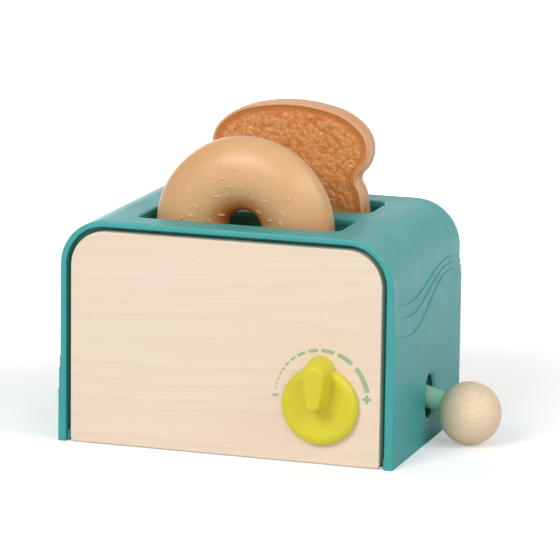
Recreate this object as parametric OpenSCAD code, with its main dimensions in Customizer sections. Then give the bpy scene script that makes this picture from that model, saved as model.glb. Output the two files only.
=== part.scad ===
// Toy toaster: a moulded arch-shaped shell with wooden front and back, a see-saw lever with a
// turned ball that lifts a bread carrier on two guide posts, a turning dial, a bagel and a slice
// of toast. Millimetres, +Z up, front towards -Y, origin in the middle of the flat underside.

/* [Body] */
// Width of the shell over its upper sides
body_w = 200; // [190:1:215]
// Depth of the shell from front lip to back lip
body_d = 140; // [138:1:160]
// Height of the shell
body_h = 132; // [126:1:145]
// Outer radius of the two upper corners
corner_r = 27; // [20:1:34]
// Wall of the shell
wall = 3.3; // [2.6:0.1:4.2]
// Rounding of the shell's outer lip edges
lip_r = 1.2; // [0.6:0.1:1.4]
// Width of the flange behind each wooden panel
flange_w = 12; // [10:0.5:13]
// Thickness of that flange
flange_t = 3; // [2.4:0.1:4]
// Step of each of the three raised layers on the lower sides
layer_t = 0.6; // [0.3:0.1:0.8]

/* [Waves on the sides] */
// Height of the three wave edges at their trough, right side
wave_trough_z = [90.8, 83.3, 72.2];
// Place of the troughs along the depth
wave_trough_y = -33; // [-40:1:-26]
// Height of the three wave edges at their crest, right side
wave_crest_z = [102.8, 98.9, 95];
// Place of the crests along the depth
wave_crest_y = 38; // [30:1:45]
// Height of the three wave edges at their trough, left side
wave_left_trough_z = [45, 38, 25];
// How far the edges rise again in front of the trough
wave_front_rise = 6; // [2:0.5:9]
// How far the edges fall again behind the crest
wave_back_fall = 5.5; // [2:0.5:9]

/* [Wooden panels] */
// Thickness of the panels
panel_t = 8; // [6:0.5:10]
// Dark gap between a panel and the shell around it
panel_gap = 3; // [2:0.1:4]
// Height of the panels' lower edge above the table
panel_foot = 0.6; // [0.4:0.1:1.5]
// Radius of the panels' lower corners
panel_foot_r = 2.2; // [1.5:0.1:4]
// Rounding of the panels' edges
panel_edge_r = 0.8; // [0.5:0.1:1.2]

/* [Bread slots and wells] */
// Length of each slot
slot_l = 122; // [121:1:126]
// Distance from the shell's lip to the near edge of each slot
slot_margin = 19.5; // [18:0.5:21]
// Width of the bridge between the two slots, over the lever
slot_bridge = 21; // [20.5:0.5:24]
// Radius of the slots' corners
slot_r = 7; // [5:0.5:7.5]
// Rounding of the slots' upper rims
rim_r = 1.5; // [0.8:0.1:2.2]
// Wall of the well that hangs under each slot
well_wall = 2; // [1.6:0.1:2.2]
// Depth of the wells below the underside of the top
well_depth = 50; // [44:1:51]

/* [Lever] */
// Middle of the lever along the depth
lever_y = 6; // [6:0.5:9]
// Distance of the pivot from the shell's inner wall
pivot_inset = 13.2; // [12:0.1:15]
// Height of the pivot
pivot_z = 31.6; // [31:0.1:33]
// Slope of the lever with its ball down, in degrees
lever_slope = 16.5; // [15:0.5:17]
// Swing of the lever from ball down to ball up, in degrees
lever_swing = 22; // [18:0.5:22]
// Distance from the pivot to the middle of the ball
ball_reach = 44.3; // [44:0.1:48]
// Distance from the pivot to the follower pin
arm_reach = 83; // [80:0.5:84]
// Radius of the round rod that carries the ball
rod_r = 6.3; // [5:0.1:6.4]
// Radius of the lever's pivot boss
pivot_boss_r = 8; // [6.5:0.5:9]
// Width of the flat inner arm
arm_w = 7; // [6:0.5:7.5]
// Half height of the inner arm at its inner end
arm_half = 4.6; // [4:0.1:5]
// Radius of the boss round the follower pin
follower_boss_r = 5.4; // [5:0.1:6]
// Radius of the pivot pin
pivot_r = 2.5; // [2:0.1:3]
// Radius of the follower pin
follower_r = 3; // [2.5:0.1:3.2]
// Radius of the wooden ball
ball_r = 18.5; // [17:0.1:18.8]
// Radius of the spigot inside the ball
spigot_r = 4; // [3:0.1:4.5]
// Length of the spigot inside the ball
spigot_l = 15; // [10:0.5:20]

/* [Lever slot in the right side] */
// Width of the slot
lever_slot_w = 16.5; // [15.5:0.5:18]
// Height of the slot
lever_slot_h = 25.8; // [25.6:0.1:28]
// Height of the slot's middle
lever_slot_z = 27.1; // [27:0.1:28]
// Width of the countersunk rim round the slot
lever_rim = 2.2; // [1.5:0.1:2.4]

/* [Pivot bracket] */
// Thickness of the bracket's plate and cheeks
bracket_t = 3; // [2.4:0.1:3.4]
// Distance between the bracket's screws along the depth
bracket_screw_y = 34; // [32:0.5:38]
// Distance between the bracket's screws in height
bracket_screw_z = 22; // [20:0.5:26]

/* [Bread carrier] */
// Height of the bread's underside with the carrier up
bread_z = 76; // [75:0.5:77]
// Gap between the end of a slot and the end of the trough under it
trough_end_gap = 3.5; // [3.2:0.1:5]
// Width of the flat floor of a trough
trough_floor_w = 16.8; // [16.4:0.1:18]
// Height of a trough's upright sides before they flare
trough_side_h = 3; // [2.5:0.1:4]
// Gap between a trough's flared rim and the well round it
trough_gap = 1.6; // [1.2:0.1:3]
// Wall of the troughs
trough_wall = 2; // [1.6:0.1:2]
// Height of the cross beams under the troughs
beam_h = 7; // [6:0.5:7.5]
// Width of the cross beams
beam_w = 10; // [8:0.5:12]
// Thickness of the two slotted lugs
lug_t = 3; // [2.4:0.1:3.4]
// Distance of the chocks that keep round bread from rolling
chock_x = 27; // [24:0.5:30]
// How much deeper the front trough is, for a bagel
bagel_sink = 3.5; // [2.5:0.1:3.6]

/* [Guide posts] */
// Radius of the steel posts
post_r = 3; // [2.5:0.1:3.2]
// Distance of each post from the middle of the toaster
post_x = 45; // [40:1:50]
// Place of the posts along the depth
post_y = -3.5; // [-3.5:0.1:-3.2]
// Radius of the carrier's guide bushes and of the post sockets
bush_r = 5; // [4.6:0.1:5]
// Depth of the post sockets
socket_depth = 8.5; // [6:0.5:10]

/* [Base plate] */
// Thickness of the base plate
base_t = 3; // [2.4:0.1:4]
// Height of the cups that sink the base screws
cup_h = 7; // [6.5:0.1:8]
// Distance of the base screws from the inner side walls
base_screw_side = 7.7; // [6.5:0.1:10]
// Distance of the base screws from the flanges
base_screw_inset = 9; // [7:0.5:14]
// Height of the screw columns in the shell
column_h = 24; // [15:1:30]

/* [Dial] */
// Place of the dial's axis along the width
dial_x = 58.7; // [52:0.1:62]
// Height of the dial's axis
dial_z = 39; // [36:0.1:46]
// Radius of the round plate
dial_r = 22.9; // [20:0.1:24]
// Drop of the round plate's middle below the axis
dial_drop = 4.2; // [2:0.1:5]
// Thickness of the plate
dial_t = 5.2; // [4:0.1:7]
// Rounding of the plate's front edge
dial_edge_r = 1.9; // [1:0.1:2.5]
// Height of the grip above the plate
grip_h = 12.5; // [9:0.5:15]
// Radius of the pointer's rounded tip on the plate
tip_r = 7.8; // [6.6:0.1:8.5]
// Distance of the tip's middle above the axis
tip_rise = 17; // [16:0.1:20]
// Radius of the grip's rounded foot
grip_foot_r = 5.2; // [4:0.1:6]
// Distance of the grip's foot below the axis
grip_foot_drop = 0.6; // [0:0.1:3]
// Radius of the dial's hollow spindle
spindle_r = 5; // [4:0.1:6]
// Wall of the bush that the spindle turns in
bush_wall = 2; // [1.5:0.1:3]

/* [Bagel] */
// Outer radius of the bagel
bagel_r = 53.75; // [50:0.25:54.5]
// Radius of the hole through the bagel
bagel_hole_r = 10.75; // [9:0.25:12]
// Thickness of the bagel
bagel_t = 30; // [27:0.5:31]
// Radius of the bagel's rounded inner and outer edges
bagel_edge_r = 11; // [9:0.5:12]
// Offset of the bagel from the middle of the slot
bagel_x = -1; // [-2:0.5:2]

/* [Toast] */
// Width of the slice across its crown
toast_w = 97; // [92:0.5:98]
// Height of the slice
toast_h = 116.2; // [110:0.1:120]
// Thickness of the slice
toast_t = 15; // [13:0.5:15.4]
// Radius of the shoulders between the crown and its lobes
toast_shoulder_r = 37; // [32:0.5:42]
// Radius of the crown's two lobes
toast_lobe_r = 18.8; // [17:0.1:20]
// Radius of the hollow curves under the lobes
toast_neck_r = 5.8; // [4:0.1:7]
// Radius of the two lower corners
toast_foot_r = 10; // [8:0.5:14]
// Gap between the slice and the right end of its slot
toast_end_gap = 4.4; // [4.3:0.1:7]
// Rounding of the crust
crust_r = 1.2; // [0.8:0.1:2]
// Width of the raised crust round the crumb
crust_w = 2.4; // [2.2:0.1:4]
// Depth of the crumb below the crust
crumb_d = 0.7; // [0.4:0.1:1.2]
// Wall of the hollow bagel and toast mouldings
food_wall = 2.2; // [1.6:0.1:2.6]

/* [Screws] */
// Radius of the screws' shanks
screw_r = 1.4; // [1.2:0.1:1.6]
// Radius of the screws' heads
screw_head_r = 3; // [2.6:0.1:3.2]
// Height of the screws' heads
screw_head_h = 2; // [1.5:0.1:2.4]
// Reach of the panel screws into the wood
panel_bite = 5; // [4:0.5:5.5]

/* [Fits] */
// Radial clearance of a running fit
run_fit = 0.06; // [0.04:0.01:0.1]
// Radial clearance of a fixed pin in its hole
fixed_fit = 0.02; // [0.01:0.01:0.04]
// Gap between faces that pass or rest on each other
face_gap = 0.3; // [0.2:0.05:0.5]

/* [Hidden] */

$fn = 64;
hull_fn = 32;   // facets of the children of a hull
eps = 0.01;
overlap = 0.4;  // how far fused features reach into each other
clearance = 0.2;    // added to a screw's radius where it passes freely
chamfer = 0.6;      // ends of the guide posts

half_w = body_w / 2;
half_d = body_d / 2;
inner_w = half_w - wall;            // inner face of the sides
inner_h = body_h - wall;            // underside of the top
corner_x = half_w - corner_r;       // middle of an upper corner
corner_z = body_h - corner_r;
panel_back = half_d - panel_t;      // back face of a panel, seated on the flange
flange_in = panel_back - flange_t;
slot_w = half_d - slot_margin - slot_bridge / 2;    // width of each slot
slot_y = (slot_w + slot_bridge) / 2;                // middle of a slot
trough_l = slot_l - 2 * trough_end_gap;
trough_flare = slot_w / 2 - trough_gap - trough_wall - trough_floor_w / 2;
base_screw_x = inner_w - base_screw_side;
base_screw_y = flange_in - base_screw_inset;
side_t = wall + 3 * layer_t;        // lower side wall with its three layers

pivot_x = inner_w - pivot_inset;
rod_w = 2 * rod_r;
ball_flat = sqrt(ball_r * ball_r - rod_r * rod_r);  // distance of the ball's flat from its middle
cheek_gap = rod_r + face_gap;       // from the lever's middle plane to a bracket cheek
follower_rest = [pivot_x - arm_reach * cos(lever_slope), pivot_z + arm_reach * sin(lever_slope)];
follower_near = pivot_x - arm_reach;                // furthest place of the pin to the left
carrier_drop = arm_reach * (sin(lever_slope) + sin(lever_swing - lever_slope));

floor_z = bread_z - face_gap;       // floor of the troughs
trough_bottom = floor_z - trough_wall;
beam_z = trough_bottom - beam_h;
lug_mid = arm_w / 2 + 2 * face_gap + lug_t / 2;
lug_edge = 3;                       // lug round its slot

post_bottom = base_t + 1;
post_top = inner_h - wall - face_gap;
dial_face = -half_d - face_gap;     // back face of the dial's plate
dial_front = dial_face - dial_t;
bush_flange_t = 1.5;
bush_flange_r = spindle_r + bush_wall + 3;
spindle_end = -panel_back + bush_flange_t + face_gap;
washer_t = 1.2;
washer_r = spindle_r + 3;
dial_screw_l = 9;
well_screw_l = 9;
base_screw_l = 12;
bracket_bite = 2.8;                 // reach of the bracket screws into the wall
head_edge = 0.7;                    // bevel of a screw's head
cross_l = 2.8;                      // cross recess of a screw
cross_w = 0.7;
cross_d = 0.9;

flange_mid = inner_w - flange_w / 2;
panel_screw_places = [[-flange_mid, 30], [flange_mid, 30], [-flange_mid, 85], [flange_mid, 85],
    [-post_x, inner_h - flange_w / 2], [post_x, inner_h - flange_w / 2]];
well_ear_l = 11;
well_ear_drop = 11;
well_ear_z = inner_h - well_ear_drop;               // underside of a well's ears
well_ear_t = 3;
well_ear_w = 14;
ear_column_r = 4;                   // columns above the ears that take their screws
column_r = 4.4;                     // columns that take the base screws
cup_r = 6;                          // cups in the base plate under those columns
rib_y = 28;                         // stiffening ribs of the base plate
rib_t = 2;
rib_h = 4;
rib_inset = 20;
nub_d = 4;                          // nubs beside the panels' lower corners
nub_h = 6;
well_screw_x = slot_l / 2 + well_wall + well_ear_l / 2;
bracket_mid_z = (pivot_z + lever_slot_z) / 2;
bracket_edge = 4;                   // plate of the pivot bracket beside its screws
bracket_foot = 4.5;                 // and above and below them
bracket_w = bracket_screw_y + 2 * bracket_edge;
bracket_h = bracket_screw_z + 2 * bracket_foot;
bracket_r = 4;
cheek_r = pivot_r + 4;              // cheeks of the bracket round the pivot
cheek_root = 11;                    // half height of a cheek at the plate

oval_a = (bagel_r - bagel_hole_r) / 2;              // half width of the bagel's section
oval_b = bagel_t / 2;
oval_x = oval_a - bagel_edge_r;                     // middle of an end arc
oval_face_r = (oval_x * oval_x + oval_b * oval_b - bagel_edge_r * bagel_edge_r)
    / (2 * (oval_b - bagel_edge_r));                // radius of the flat arcs
bagel_mid_r = (bagel_r + bagel_hole_r) / 2;
bagel_z = bread_z - bagel_sink + bagel_r;           // height of its middle

toast_x = slot_l / 2 - toast_end_gap - toast_w / 2;
toast_foot_half = toast_w / 2 - 2;
crown_end = 74;             // angles at which the crown, the shoulder, the lobe and the neck end
shoulder_end = 44;
lobe_end = -46;
neck_end = 222;

// ---- shared shapes ----

// Lays a drawing (across, up) on a plane parallel to the front, extruded from y0 to y1
module front_slab(y0, y1) {
    translate([0, y1, 0]) rotate([90, 0, 0]) linear_extrude(y1 - y0) children();
}

// Lays a drawing (along the depth, up) on a plane parallel to the sides, from x0 to x1
module side_slab(x0, x1) {
    translate([x0, 0, 0]) rotate([90, 0, 90]) linear_extrude(x1 - x0) children();
}

// Cylinder along the depth from y0 to y1, at [x, z]
module y_rod(at, y0, y1, r) {
    translate([at[0], y1, at[1]]) rotate([90, 0, 0]) cylinder(r = r, h = y1 - y0);
}

// Cylinder along the width from x0 to x1, at [y, z]
module x_rod(at, x0, x1, r) {
    translate([x0, at[0], at[1]]) rotate([0, 90, 0]) cylinder(r = r, h = x1 - x0);
}

// Rectangle with rounded corners, centred
module round_rect(l, w, r) {
    square([l - 2 * r, w], center = true);
    square([l, w - 2 * r], center = true);
    for (x = [-1, 1], y = [-1, 1]) translate([x * (l / 2 - r), y * (w / 2 - r)]) circle(r);
}

// Upright slot with round ends, centred
module obround(w, h) {
    square([w, h - w], center = true);
    for (s = [-1, 1]) translate([0, s * (h - w) / 2]) circle(w / 2);
}

// Cuts the round edge of a hole: section across the edge, hole to the left, surface at 0
module edge_cut(e) {
    difference() {
        translate([-eps, -e]) square([e + eps, e + 1]);
        translate([e, -e]) circle(e);
    }
}

// Rounds the upper rim of a rounded rectangular hole whose rim lies at z = 0
module rim_cutter(l, w, r, e) {
    for (x = [0, 1], y = [0, 1]) mirror([x, 0, 0]) mirror([0, y, 0])
        translate([l / 2 - r, w / 2 - r, 0]) rotate_extrude(angle = 90)
            translate([r, 0]) edge_cut(e);
    for (s = [0, 180]) rotate([0, 0, s]) {
        translate([l / 2, w / 2 - r, 0]) rotate([90, 0, 0])
            linear_extrude(w - 2 * r) edge_cut(e);
        translate([-l / 2 + r, w / 2, 0]) rotate([90, 0, 90])
            linear_extrude(l - 2 * r) edge_cut(e);
    }
}

// Pan-head screw standing on z = 0: the head below, the shank above
module screw(shank_l) {
    translate([0, 0, -screw_head_h]) difference() {
        union() {
            cylinder(r1 = screw_head_r - head_edge, r2 = screw_head_r, h = head_edge);
            translate([0, 0, head_edge]) cylinder(r = screw_head_r, h = screw_head_h - head_edge);
        }
        for (a = [0, 90]) rotate([0, 0, a])
            translate([0, 0, cross_d / 2 - eps]) cube([cross_l, cross_w, cross_d], center = true);
    }
    cylinder(r = screw_r, h = shank_l - screw_r);
    translate([0, 0, shank_l - screw_r]) cylinder(r1 = screw_r, r2 = 0.4, h = screw_r);
}

// ---- shell ----

// Section of the wall: across the wall from its inner face, and along the depth
module wall_section(t) {
    e = lip_r;
    translate([0, -half_d + 0.001]) square([t - e, body_d - 0.002]);
    translate([0, -half_d + e]) square([t, body_d - 2 * e]);
    for (s = [-1, 1]) translate([t - e, s * (half_d - e)]) circle(e);
}

// Section of the two flanges behind the panels, rooted in the wall
module flange_section() {
    for (s = [0, 1]) mirror([0, s]) translate([-flange_w, flange_in])
        square([flange_w + overlap, flange_t]);
}

// Sweeps a wall section round the arch, from z = from_z up one side and over to the other
module arch(from_z) {
    for (m = [0, 1]) mirror([m, 0, 0]) {
        translate([corner_x, 0, corner_z]) rotate([90, 0, 0]) rotate_extrude(angle = 90)
            translate([corner_r - wall, 0]) children();
        translate([inner_w, 0, from_z]) linear_extrude(corner_z - from_z) children();
    }
    translate([corner_x, 0, inner_h]) rotate([0, -90, 0]) linear_extrude(2 * corner_x)
        children();
}

// Height of a wave edge at depth y: a cosine ramp from trough to crest, curved back at both ends
function wave_z(y, trough, crest) =
    y < wave_trough_y
        ? trough + wave_front_rise * pow((wave_trough_y - y) / (wave_trough_y + half_d), 2)
    : y > wave_crest_y
        ? crest - wave_back_fall * pow((y - wave_crest_y) / (half_d - wave_crest_y), 2)
    : (trough + crest) / 2
        - (crest - trough) / 2 * cos(180 * (y - wave_trough_y) / (wave_crest_y - wave_trough_y));

// The part of a side that lies below a wave edge
module below_wave(trough, crest) {
    steps = 28;
    polygon(concat([[half_d + 1, -1], [-half_d - 1, -1]],
        [for (i = [0:steps]) let (y = -half_d - 1 + (body_d + 2) * i / steps)
            [y, wave_z(y, trough, crest)]]));
}

// Three raised layers on one side; troughs holds their heights
module wave_layers(troughs) {
    for (k = [0:2]) intersection() {
        translate([inner_w, 0, 0]) linear_extrude(corner_z) difference() {
            wall_section(wall + layer_t * (k + 1));
            translate([-1, -half_d - 1]) square([wall / 2 + 1, body_d + 2]);
        }
        side_slab(inner_w, half_w + side_t) below_wave(troughs[k], wave_crest_z[k]);
    }
}

// Obround opening for the lever, with its countersunk rim
module lever_slot_cut() {
    face = inner_w + side_t;
    straight = lever_slot_h - lever_slot_w;
    translate([0, lever_y, lever_slot_z]) {
        side_slab(inner_w - 1, face + 1) obround(lever_slot_w, lever_slot_h);
        for (s = [-1, 1]) translate([face - lever_rim, 0, s * straight / 2]) rotate([0, 90, 0])
            cylinder(r1 = lever_slot_w / 2, r2 = lever_slot_w / 2 + lever_rim + eps,
                h = lever_rim + eps);
        translate([0, 0, -straight / 2]) linear_extrude(straight)
            polygon([[face - lever_rim, -lever_slot_w / 2], [face - lever_rim, lever_slot_w / 2],
                [face + eps, lever_slot_w / 2 + lever_rim + eps],
                [face + eps, -lever_slot_w / 2 - lever_rim - eps]]);
    }
}

// Column beside the wall that takes a base screw
module screw_column() {
    translate([base_screw_x, base_screw_y, cup_h]) {
        cylinder(r = column_r, h = column_h - cup_h);
        translate([0, -2, 0]) cube([inner_w - base_screw_x + overlap, 4, column_h - cup_h]);
    }
}

module shell() {
    color("#46a2a0") difference() {
        union() {
            arch(0) wall_section(wall);
            arch(base_t + face_gap) flange_section();
            wave_layers(wave_trough_z);
            mirror([1, 0, 0]) wave_layers(wave_left_trough_z);
            for (x = [-1, 1], y = [-1, 1]) {
                translate([x * well_screw_x, y * slot_y, well_ear_z + well_ear_t])
                    cylinder(r = ear_column_r, h = inner_h - well_ear_z - well_ear_t + overlap);
                mirror([x < 0 ? 1 : 0, 0, 0]) mirror([0, y < 0 ? 1 : 0, 0]) screw_column();
                // nubs that hold the lower corners of the panels in line
                translate([x * (inner_w - panel_gap / 4 + overlap / 2), y * (half_d - 5), nub_h / 2])
                    cube([panel_gap / 2 + overlap, nub_d, nub_h], center = true);
            }
            for (x = [-1, 1]) translate([x * post_x, post_y, inner_h - wall - socket_depth])
                cylinder(r = bush_r, h = wall + socket_depth + overlap);
        }
        for (s = [-1, 1]) translate([0, s * slot_y, 0]) {
            translate([0, 0, inner_h - 1]) linear_extrude(wall + 2)
                round_rect(slot_l, slot_w, slot_r);
            translate([0, 0, body_h]) rim_cutter(slot_l, slot_w, slot_r, rim_r);
        }
        for (x = [-1, 1]) translate([x * post_x, post_y, inner_h - wall - socket_depth - 1])
            cylinder(r = post_r + fixed_fit, h = socket_depth + 1);
        for (x = [-1, 1], y = [-1, 1]) {
            translate([x * well_screw_x, y * slot_y, well_ear_z])
                cylinder(r = screw_r, h = inner_h - well_ear_z - 1);
            translate([x * base_screw_x, y * base_screw_y, cup_h - 1])
                cylinder(r = screw_r, h = base_screw_l + 1);
            flange_screw_holes(x, y);
        }
        lever_slot_cut();
        for (y = [-1, 1], z = [-1, 1])
            x_rod([lever_y + y * bracket_screw_y / 2, bracket_mid_z + z * bracket_screw_z / 2],
                inner_w - 1, inner_w + wall, screw_r);
    }
}

// Clearance holes through the flanges for the panel screws of one quarter
module flange_screw_holes(x, y) {
    for (p = panel_screw_places) if (sign(p[0]) == x)
        y_rod(p, y > 0 ? flange_in - 1 : -panel_back - 1, y > 0 ? panel_back + 1 : -flange_in + 1,
            screw_r + clearance);
}

// ---- wooden panels ----

// Disc with rounded edges, for the corner of a panel, at [x, z]
module panel_corner(at, r) {
    translate([at[0], -half_d, at[1]]) rotate([-90, 0, 0]) rotate_extrude($fn = 48)
        intersection() {
            offset(panel_edge_r, $fn = 12) translate([-r, panel_edge_r])
                square([2 * r - panel_edge_r, panel_t - 2 * panel_edge_r]);
            square([r + 1, panel_t]);
        }
}

// Panel with round upper corners and pilot holes for its screws, drawn at the front
module panel() {
    panel_w = inner_w - panel_gap;
    panel_top = inner_h - panel_gap;
    top_r = corner_r - wall - panel_gap;
    difference() {
        hull() for (s = [-1, 1]) {
            panel_corner([s * (panel_w - top_r), panel_top - top_r], top_r);
            panel_corner([s * (panel_w - panel_foot_r), panel_foot + panel_foot_r], panel_foot_r);
        }
        for (p = panel_screw_places) y_rod(p, -panel_back - panel_bite - 1, -panel_back + 1, screw_r);
    }
}

module front_panel() {
    color("#f0dec6") difference() {
        panel();
        y_rod([dial_x, dial_z], -half_d - 1, -panel_back + 1, spindle_r + run_fit + bush_wall);
    }
}

module rear_panel() {
    color("#f0dec6") mirror([0, 1, 0]) panel();
}

// ---- base plate ----

module base_plate() {
    color("#2f8582") difference() {
        union() {
            translate([-inner_w + face_gap, -panel_back + face_gap, 0])
                cube([2 * (inner_w - face_gap), 2 * (panel_back - face_gap), base_t]);
            for (x = [-1, 1], y = [-1, 1]) translate([x * base_screw_x, y * base_screw_y, 0])
                cylinder(r = cup_r, h = cup_h);
            for (x = [-1, 1]) translate([x * post_x, post_y, 0])
                cylinder(r = bush_r, h = post_bottom + socket_depth);
            // stiffening ribs round the mechanism
            for (y = [-1, 1]) translate([-inner_w + rib_inset, y * rib_y - rib_t / 2, 0])
                cube([2 * (inner_w - rib_inset), rib_t, base_t + rib_h]);
        }
        for (x = [-1, 1], y = [-1, 1]) translate([x * base_screw_x, y * base_screw_y, 0]) {
            translate([0, 0, -1]) cylinder(r = screw_head_r + 0.6, h = cup_h - 2);
            cylinder(r = screw_r + clearance, h = cup_h + 1);
        }
        for (x = [-1, 1]) translate([x * post_x, post_y, post_bottom])
            cylinder(r = post_r + fixed_fit, h = socket_depth + 1);
    }
}

// ---- bread wells ----

// Open well under one slot, with a screwed ear at each end
module well() {
    difference() {
        union() {
            translate([0, 0, inner_h - well_depth]) linear_extrude(well_depth)
                round_rect(slot_l + 2 * well_wall, slot_w + 2 * well_wall, slot_r + well_wall);
            for (s = [-1, 1]) translate([s * (slot_l / 2 + well_wall + well_ear_l / 2 - overlap), 0,
                    well_ear_z + well_ear_t / 2])
                cube([well_ear_l + 2 * overlap, well_ear_w, well_ear_t], center = true);
        }
        translate([0, 0, inner_h - well_depth - 1]) linear_extrude(well_depth + 2)
            round_rect(slot_l, slot_w, slot_r);
        for (s = [-1, 1]) translate([s * well_screw_x, 0, well_ear_z - 1])
            cylinder(r = screw_r + clearance, h = well_ear_t + 2);
    }
}

module front_well() {
    color("#1f6f6c") translate([0, -slot_y, 0]) well();
}

module rear_well() {
    color("#1f6f6c") translate([0, slot_y, 0]) well();
}

// ---- guide posts and pivot bracket ----

module guide_posts() {
    color("#b9bcc0") for (x = [-1, 1]) translate([x * post_x, post_y, post_bottom]) {
        length = post_top - post_bottom;
        cylinder(r1 = post_r - chamfer, r2 = post_r, h = chamfer);
        translate([0, 0, chamfer]) cylinder(r = post_r, h = length - 2 * chamfer);
        translate([0, 0, length - chamfer]) cylinder(r1 = post_r, r2 = post_r - chamfer, h = chamfer);
    }
}

module pivot_bracket() {
    color("#2f8582") difference() {
        union() {
            translate([0, lever_y, bracket_mid_z]) side_slab(inner_w - bracket_t, inner_w)
                round_rect(bracket_w, bracket_h, bracket_r);
            for (s = [-1, 1]) front_slab_at(lever_y + s * (cheek_gap + bracket_t / 2), bracket_t) {
                translate([pivot_x, pivot_z]) circle(cheek_r);
                polygon([[inner_w - bracket_t / 2, pivot_z - cheek_root],
                    [inner_w - bracket_t / 2, pivot_z + cheek_root],
                    [pivot_x, pivot_z + cheek_r], [pivot_x, pivot_z - cheek_r]]);
            }
        }
        translate([0, lever_y, lever_slot_z]) side_slab(inner_w - bracket_t - 1, inner_w + 1)
            obround(rod_w + 2 * face_gap, lever_slot_h);
        y_rod([pivot_x, pivot_z], lever_y - bracket_w / 2, lever_y + bracket_w / 2, pivot_r + fixed_fit);
        for (y = [-1, 1], z = [-1, 1])
            x_rod([lever_y + y * bracket_screw_y / 2, bracket_mid_z + z * bracket_screw_z / 2],
                inner_w - bracket_t - 1, inner_w + 1, screw_r + clearance);
    }
}

// Drawing (across, up) extruded over a thickness centred at depth y
module front_slab_at(y, t) {
    front_slab(y - t / 2, y + t / 2) children();
}

// ---- lever ----

// Places children in the lever's own frame: pivot at the origin, +X towards the ball
module on_lever() {
    translate([pivot_x, lever_y, pivot_z]) rotate([0, lever_slope, 0]) children();
}

module lever_arm() {
    pocket_d = arm_w / 3.5;
    color("#82be9b") difference() {
        union() {
            on_lever() {
                rotate([0, 90, 0]) cylinder(r = rod_r, h = ball_reach - ball_flat);
                rotate([0, 90, 0]) cylinder(r = spigot_r, h = ball_reach - ball_flat + spigot_l);
                rotate([90, 0, 0]) cylinder(r = pivot_boss_r, h = rod_w, center = true);
                front_slab_at(0, arm_w) {
                    polygon([[0, -pivot_boss_r + 1], [0, pivot_boss_r - 1], [-arm_reach, arm_half],
                        [-arm_reach, -arm_half]]);
                    translate([-arm_reach, 0]) circle(follower_boss_r);
                }
            }
        }
        on_lever() {
            // pockets that leave a web along the middle of the moulded arm
            for (s = [-1, 1]) front_slab_at(s * (arm_w - pocket_d) / 2 + s * eps, pocket_d)
                polygon([[-pivot_boss_r - 3, -pivot_boss_r + 3.4], [-pivot_boss_r - 3, pivot_boss_r - 3.4],
                    [-arm_reach + follower_boss_r + 2, arm_half - 1.8],
                    [-arm_reach + follower_boss_r + 2, -arm_half + 1.8]]);
            rotate([90, 0, 0]) cylinder(r = pivot_r + run_fit, h = rod_w + 2, center = true);
            translate([-arm_reach, 0, 0]) rotate([90, 0, 0])
                cylinder(r = follower_r + fixed_fit, h = rod_w + 2, center = true);
        }
    }
}

module lever_ball() {
    color("#e4caa6") on_lever() translate([ball_reach, 0, 0]) difference() {
        sphere(ball_r);
        translate([-ball_r * 2 - ball_flat, -ball_r, -ball_r]) cube(2 * ball_r);
        translate([-ball_r - 1, 0, 0]) rotate([0, 90, 0])
            cylinder(r = spigot_r + fixed_fit, h = ball_r + 1 - ball_flat + spigot_l + 0.5);
    }
}

module pivot_pin() {
    head = cheek_gap + bracket_t;
    color("#b9bcc0") {
        y_rod([pivot_x, pivot_z], lever_y - head, lever_y + head + 2, pivot_r);
        y_rod([pivot_x, pivot_z], lever_y - head - 1.4, lever_y - head, pivot_r + 1.6);
    }
}

module pin_clip() {
    start = lever_y + cheek_gap + bracket_t;
    color("#8e9297") difference() {
        y_rod([pivot_x, pivot_z], start, start + 1, pivot_r + 2);
        y_rod([pivot_x, pivot_z], start - 1, start + 2, pivot_r + fixed_fit);
    }
}

module follower_pin() {
    reach = lug_mid + lug_t / 2 + 0.8;
    color("#b9bcc0") y_rod(follower_rest, lever_y - reach, lever_y + reach, follower_r);
}

// ---- bread carrier ----

// Section of a trough (across, up) with its floor at 0 and its rim higher by deep; grow moves the
// outline outwards
module trough_outline(grow, deep) {
    half = trough_floor_w / 2 + grow;
    rim = trough_side_h + trough_flare + deep;
    polygon([[-half, -grow], [half, -grow], [half, trough_side_h], [half + trough_flare, rim],
        [-half - trough_flare, rim], [-half, trough_side_h]]);
}

module trough_space(deep) {
    side_slab(-trough_l / 2 + trough_wall, trough_l / 2 - trough_wall) translate([0, eps])
        trough_outline(0, deep);
}

module trough(deep) {
    chock_half = trough_floor_w / 2;
    chock_h = trough_flare - 0.7;
    chock_top = trough_side_h + chock_h;
    chock_out = chock_half + trough_flare * chock_h / (trough_flare + deep) + 0.5;
    difference() {
        side_slab(-trough_l / 2, trough_l / 2) trough_outline(trough_wall, deep);
        trough_space(deep);
        // drain-like slots in the floor, between the cross beams
        for (x = [-1, 1]) translate([x * post_x / 2, 0, 0])
            cube([post_x - 2 * beam_w, trough_floor_w / 3, 4 * trough_wall], center = true);
    }
    for (x = [-1, 1], s = [0, 1]) mirror([0, s, 0]) side_slab(x * chock_x - 1, x * chock_x + 1)
        polygon([[chock_half + 0.3, trough_side_h], [chock_half + 0.3, chock_top],
            [chock_out, chock_top], [chock_half + 0.9, trough_side_h]]);
}

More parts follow.
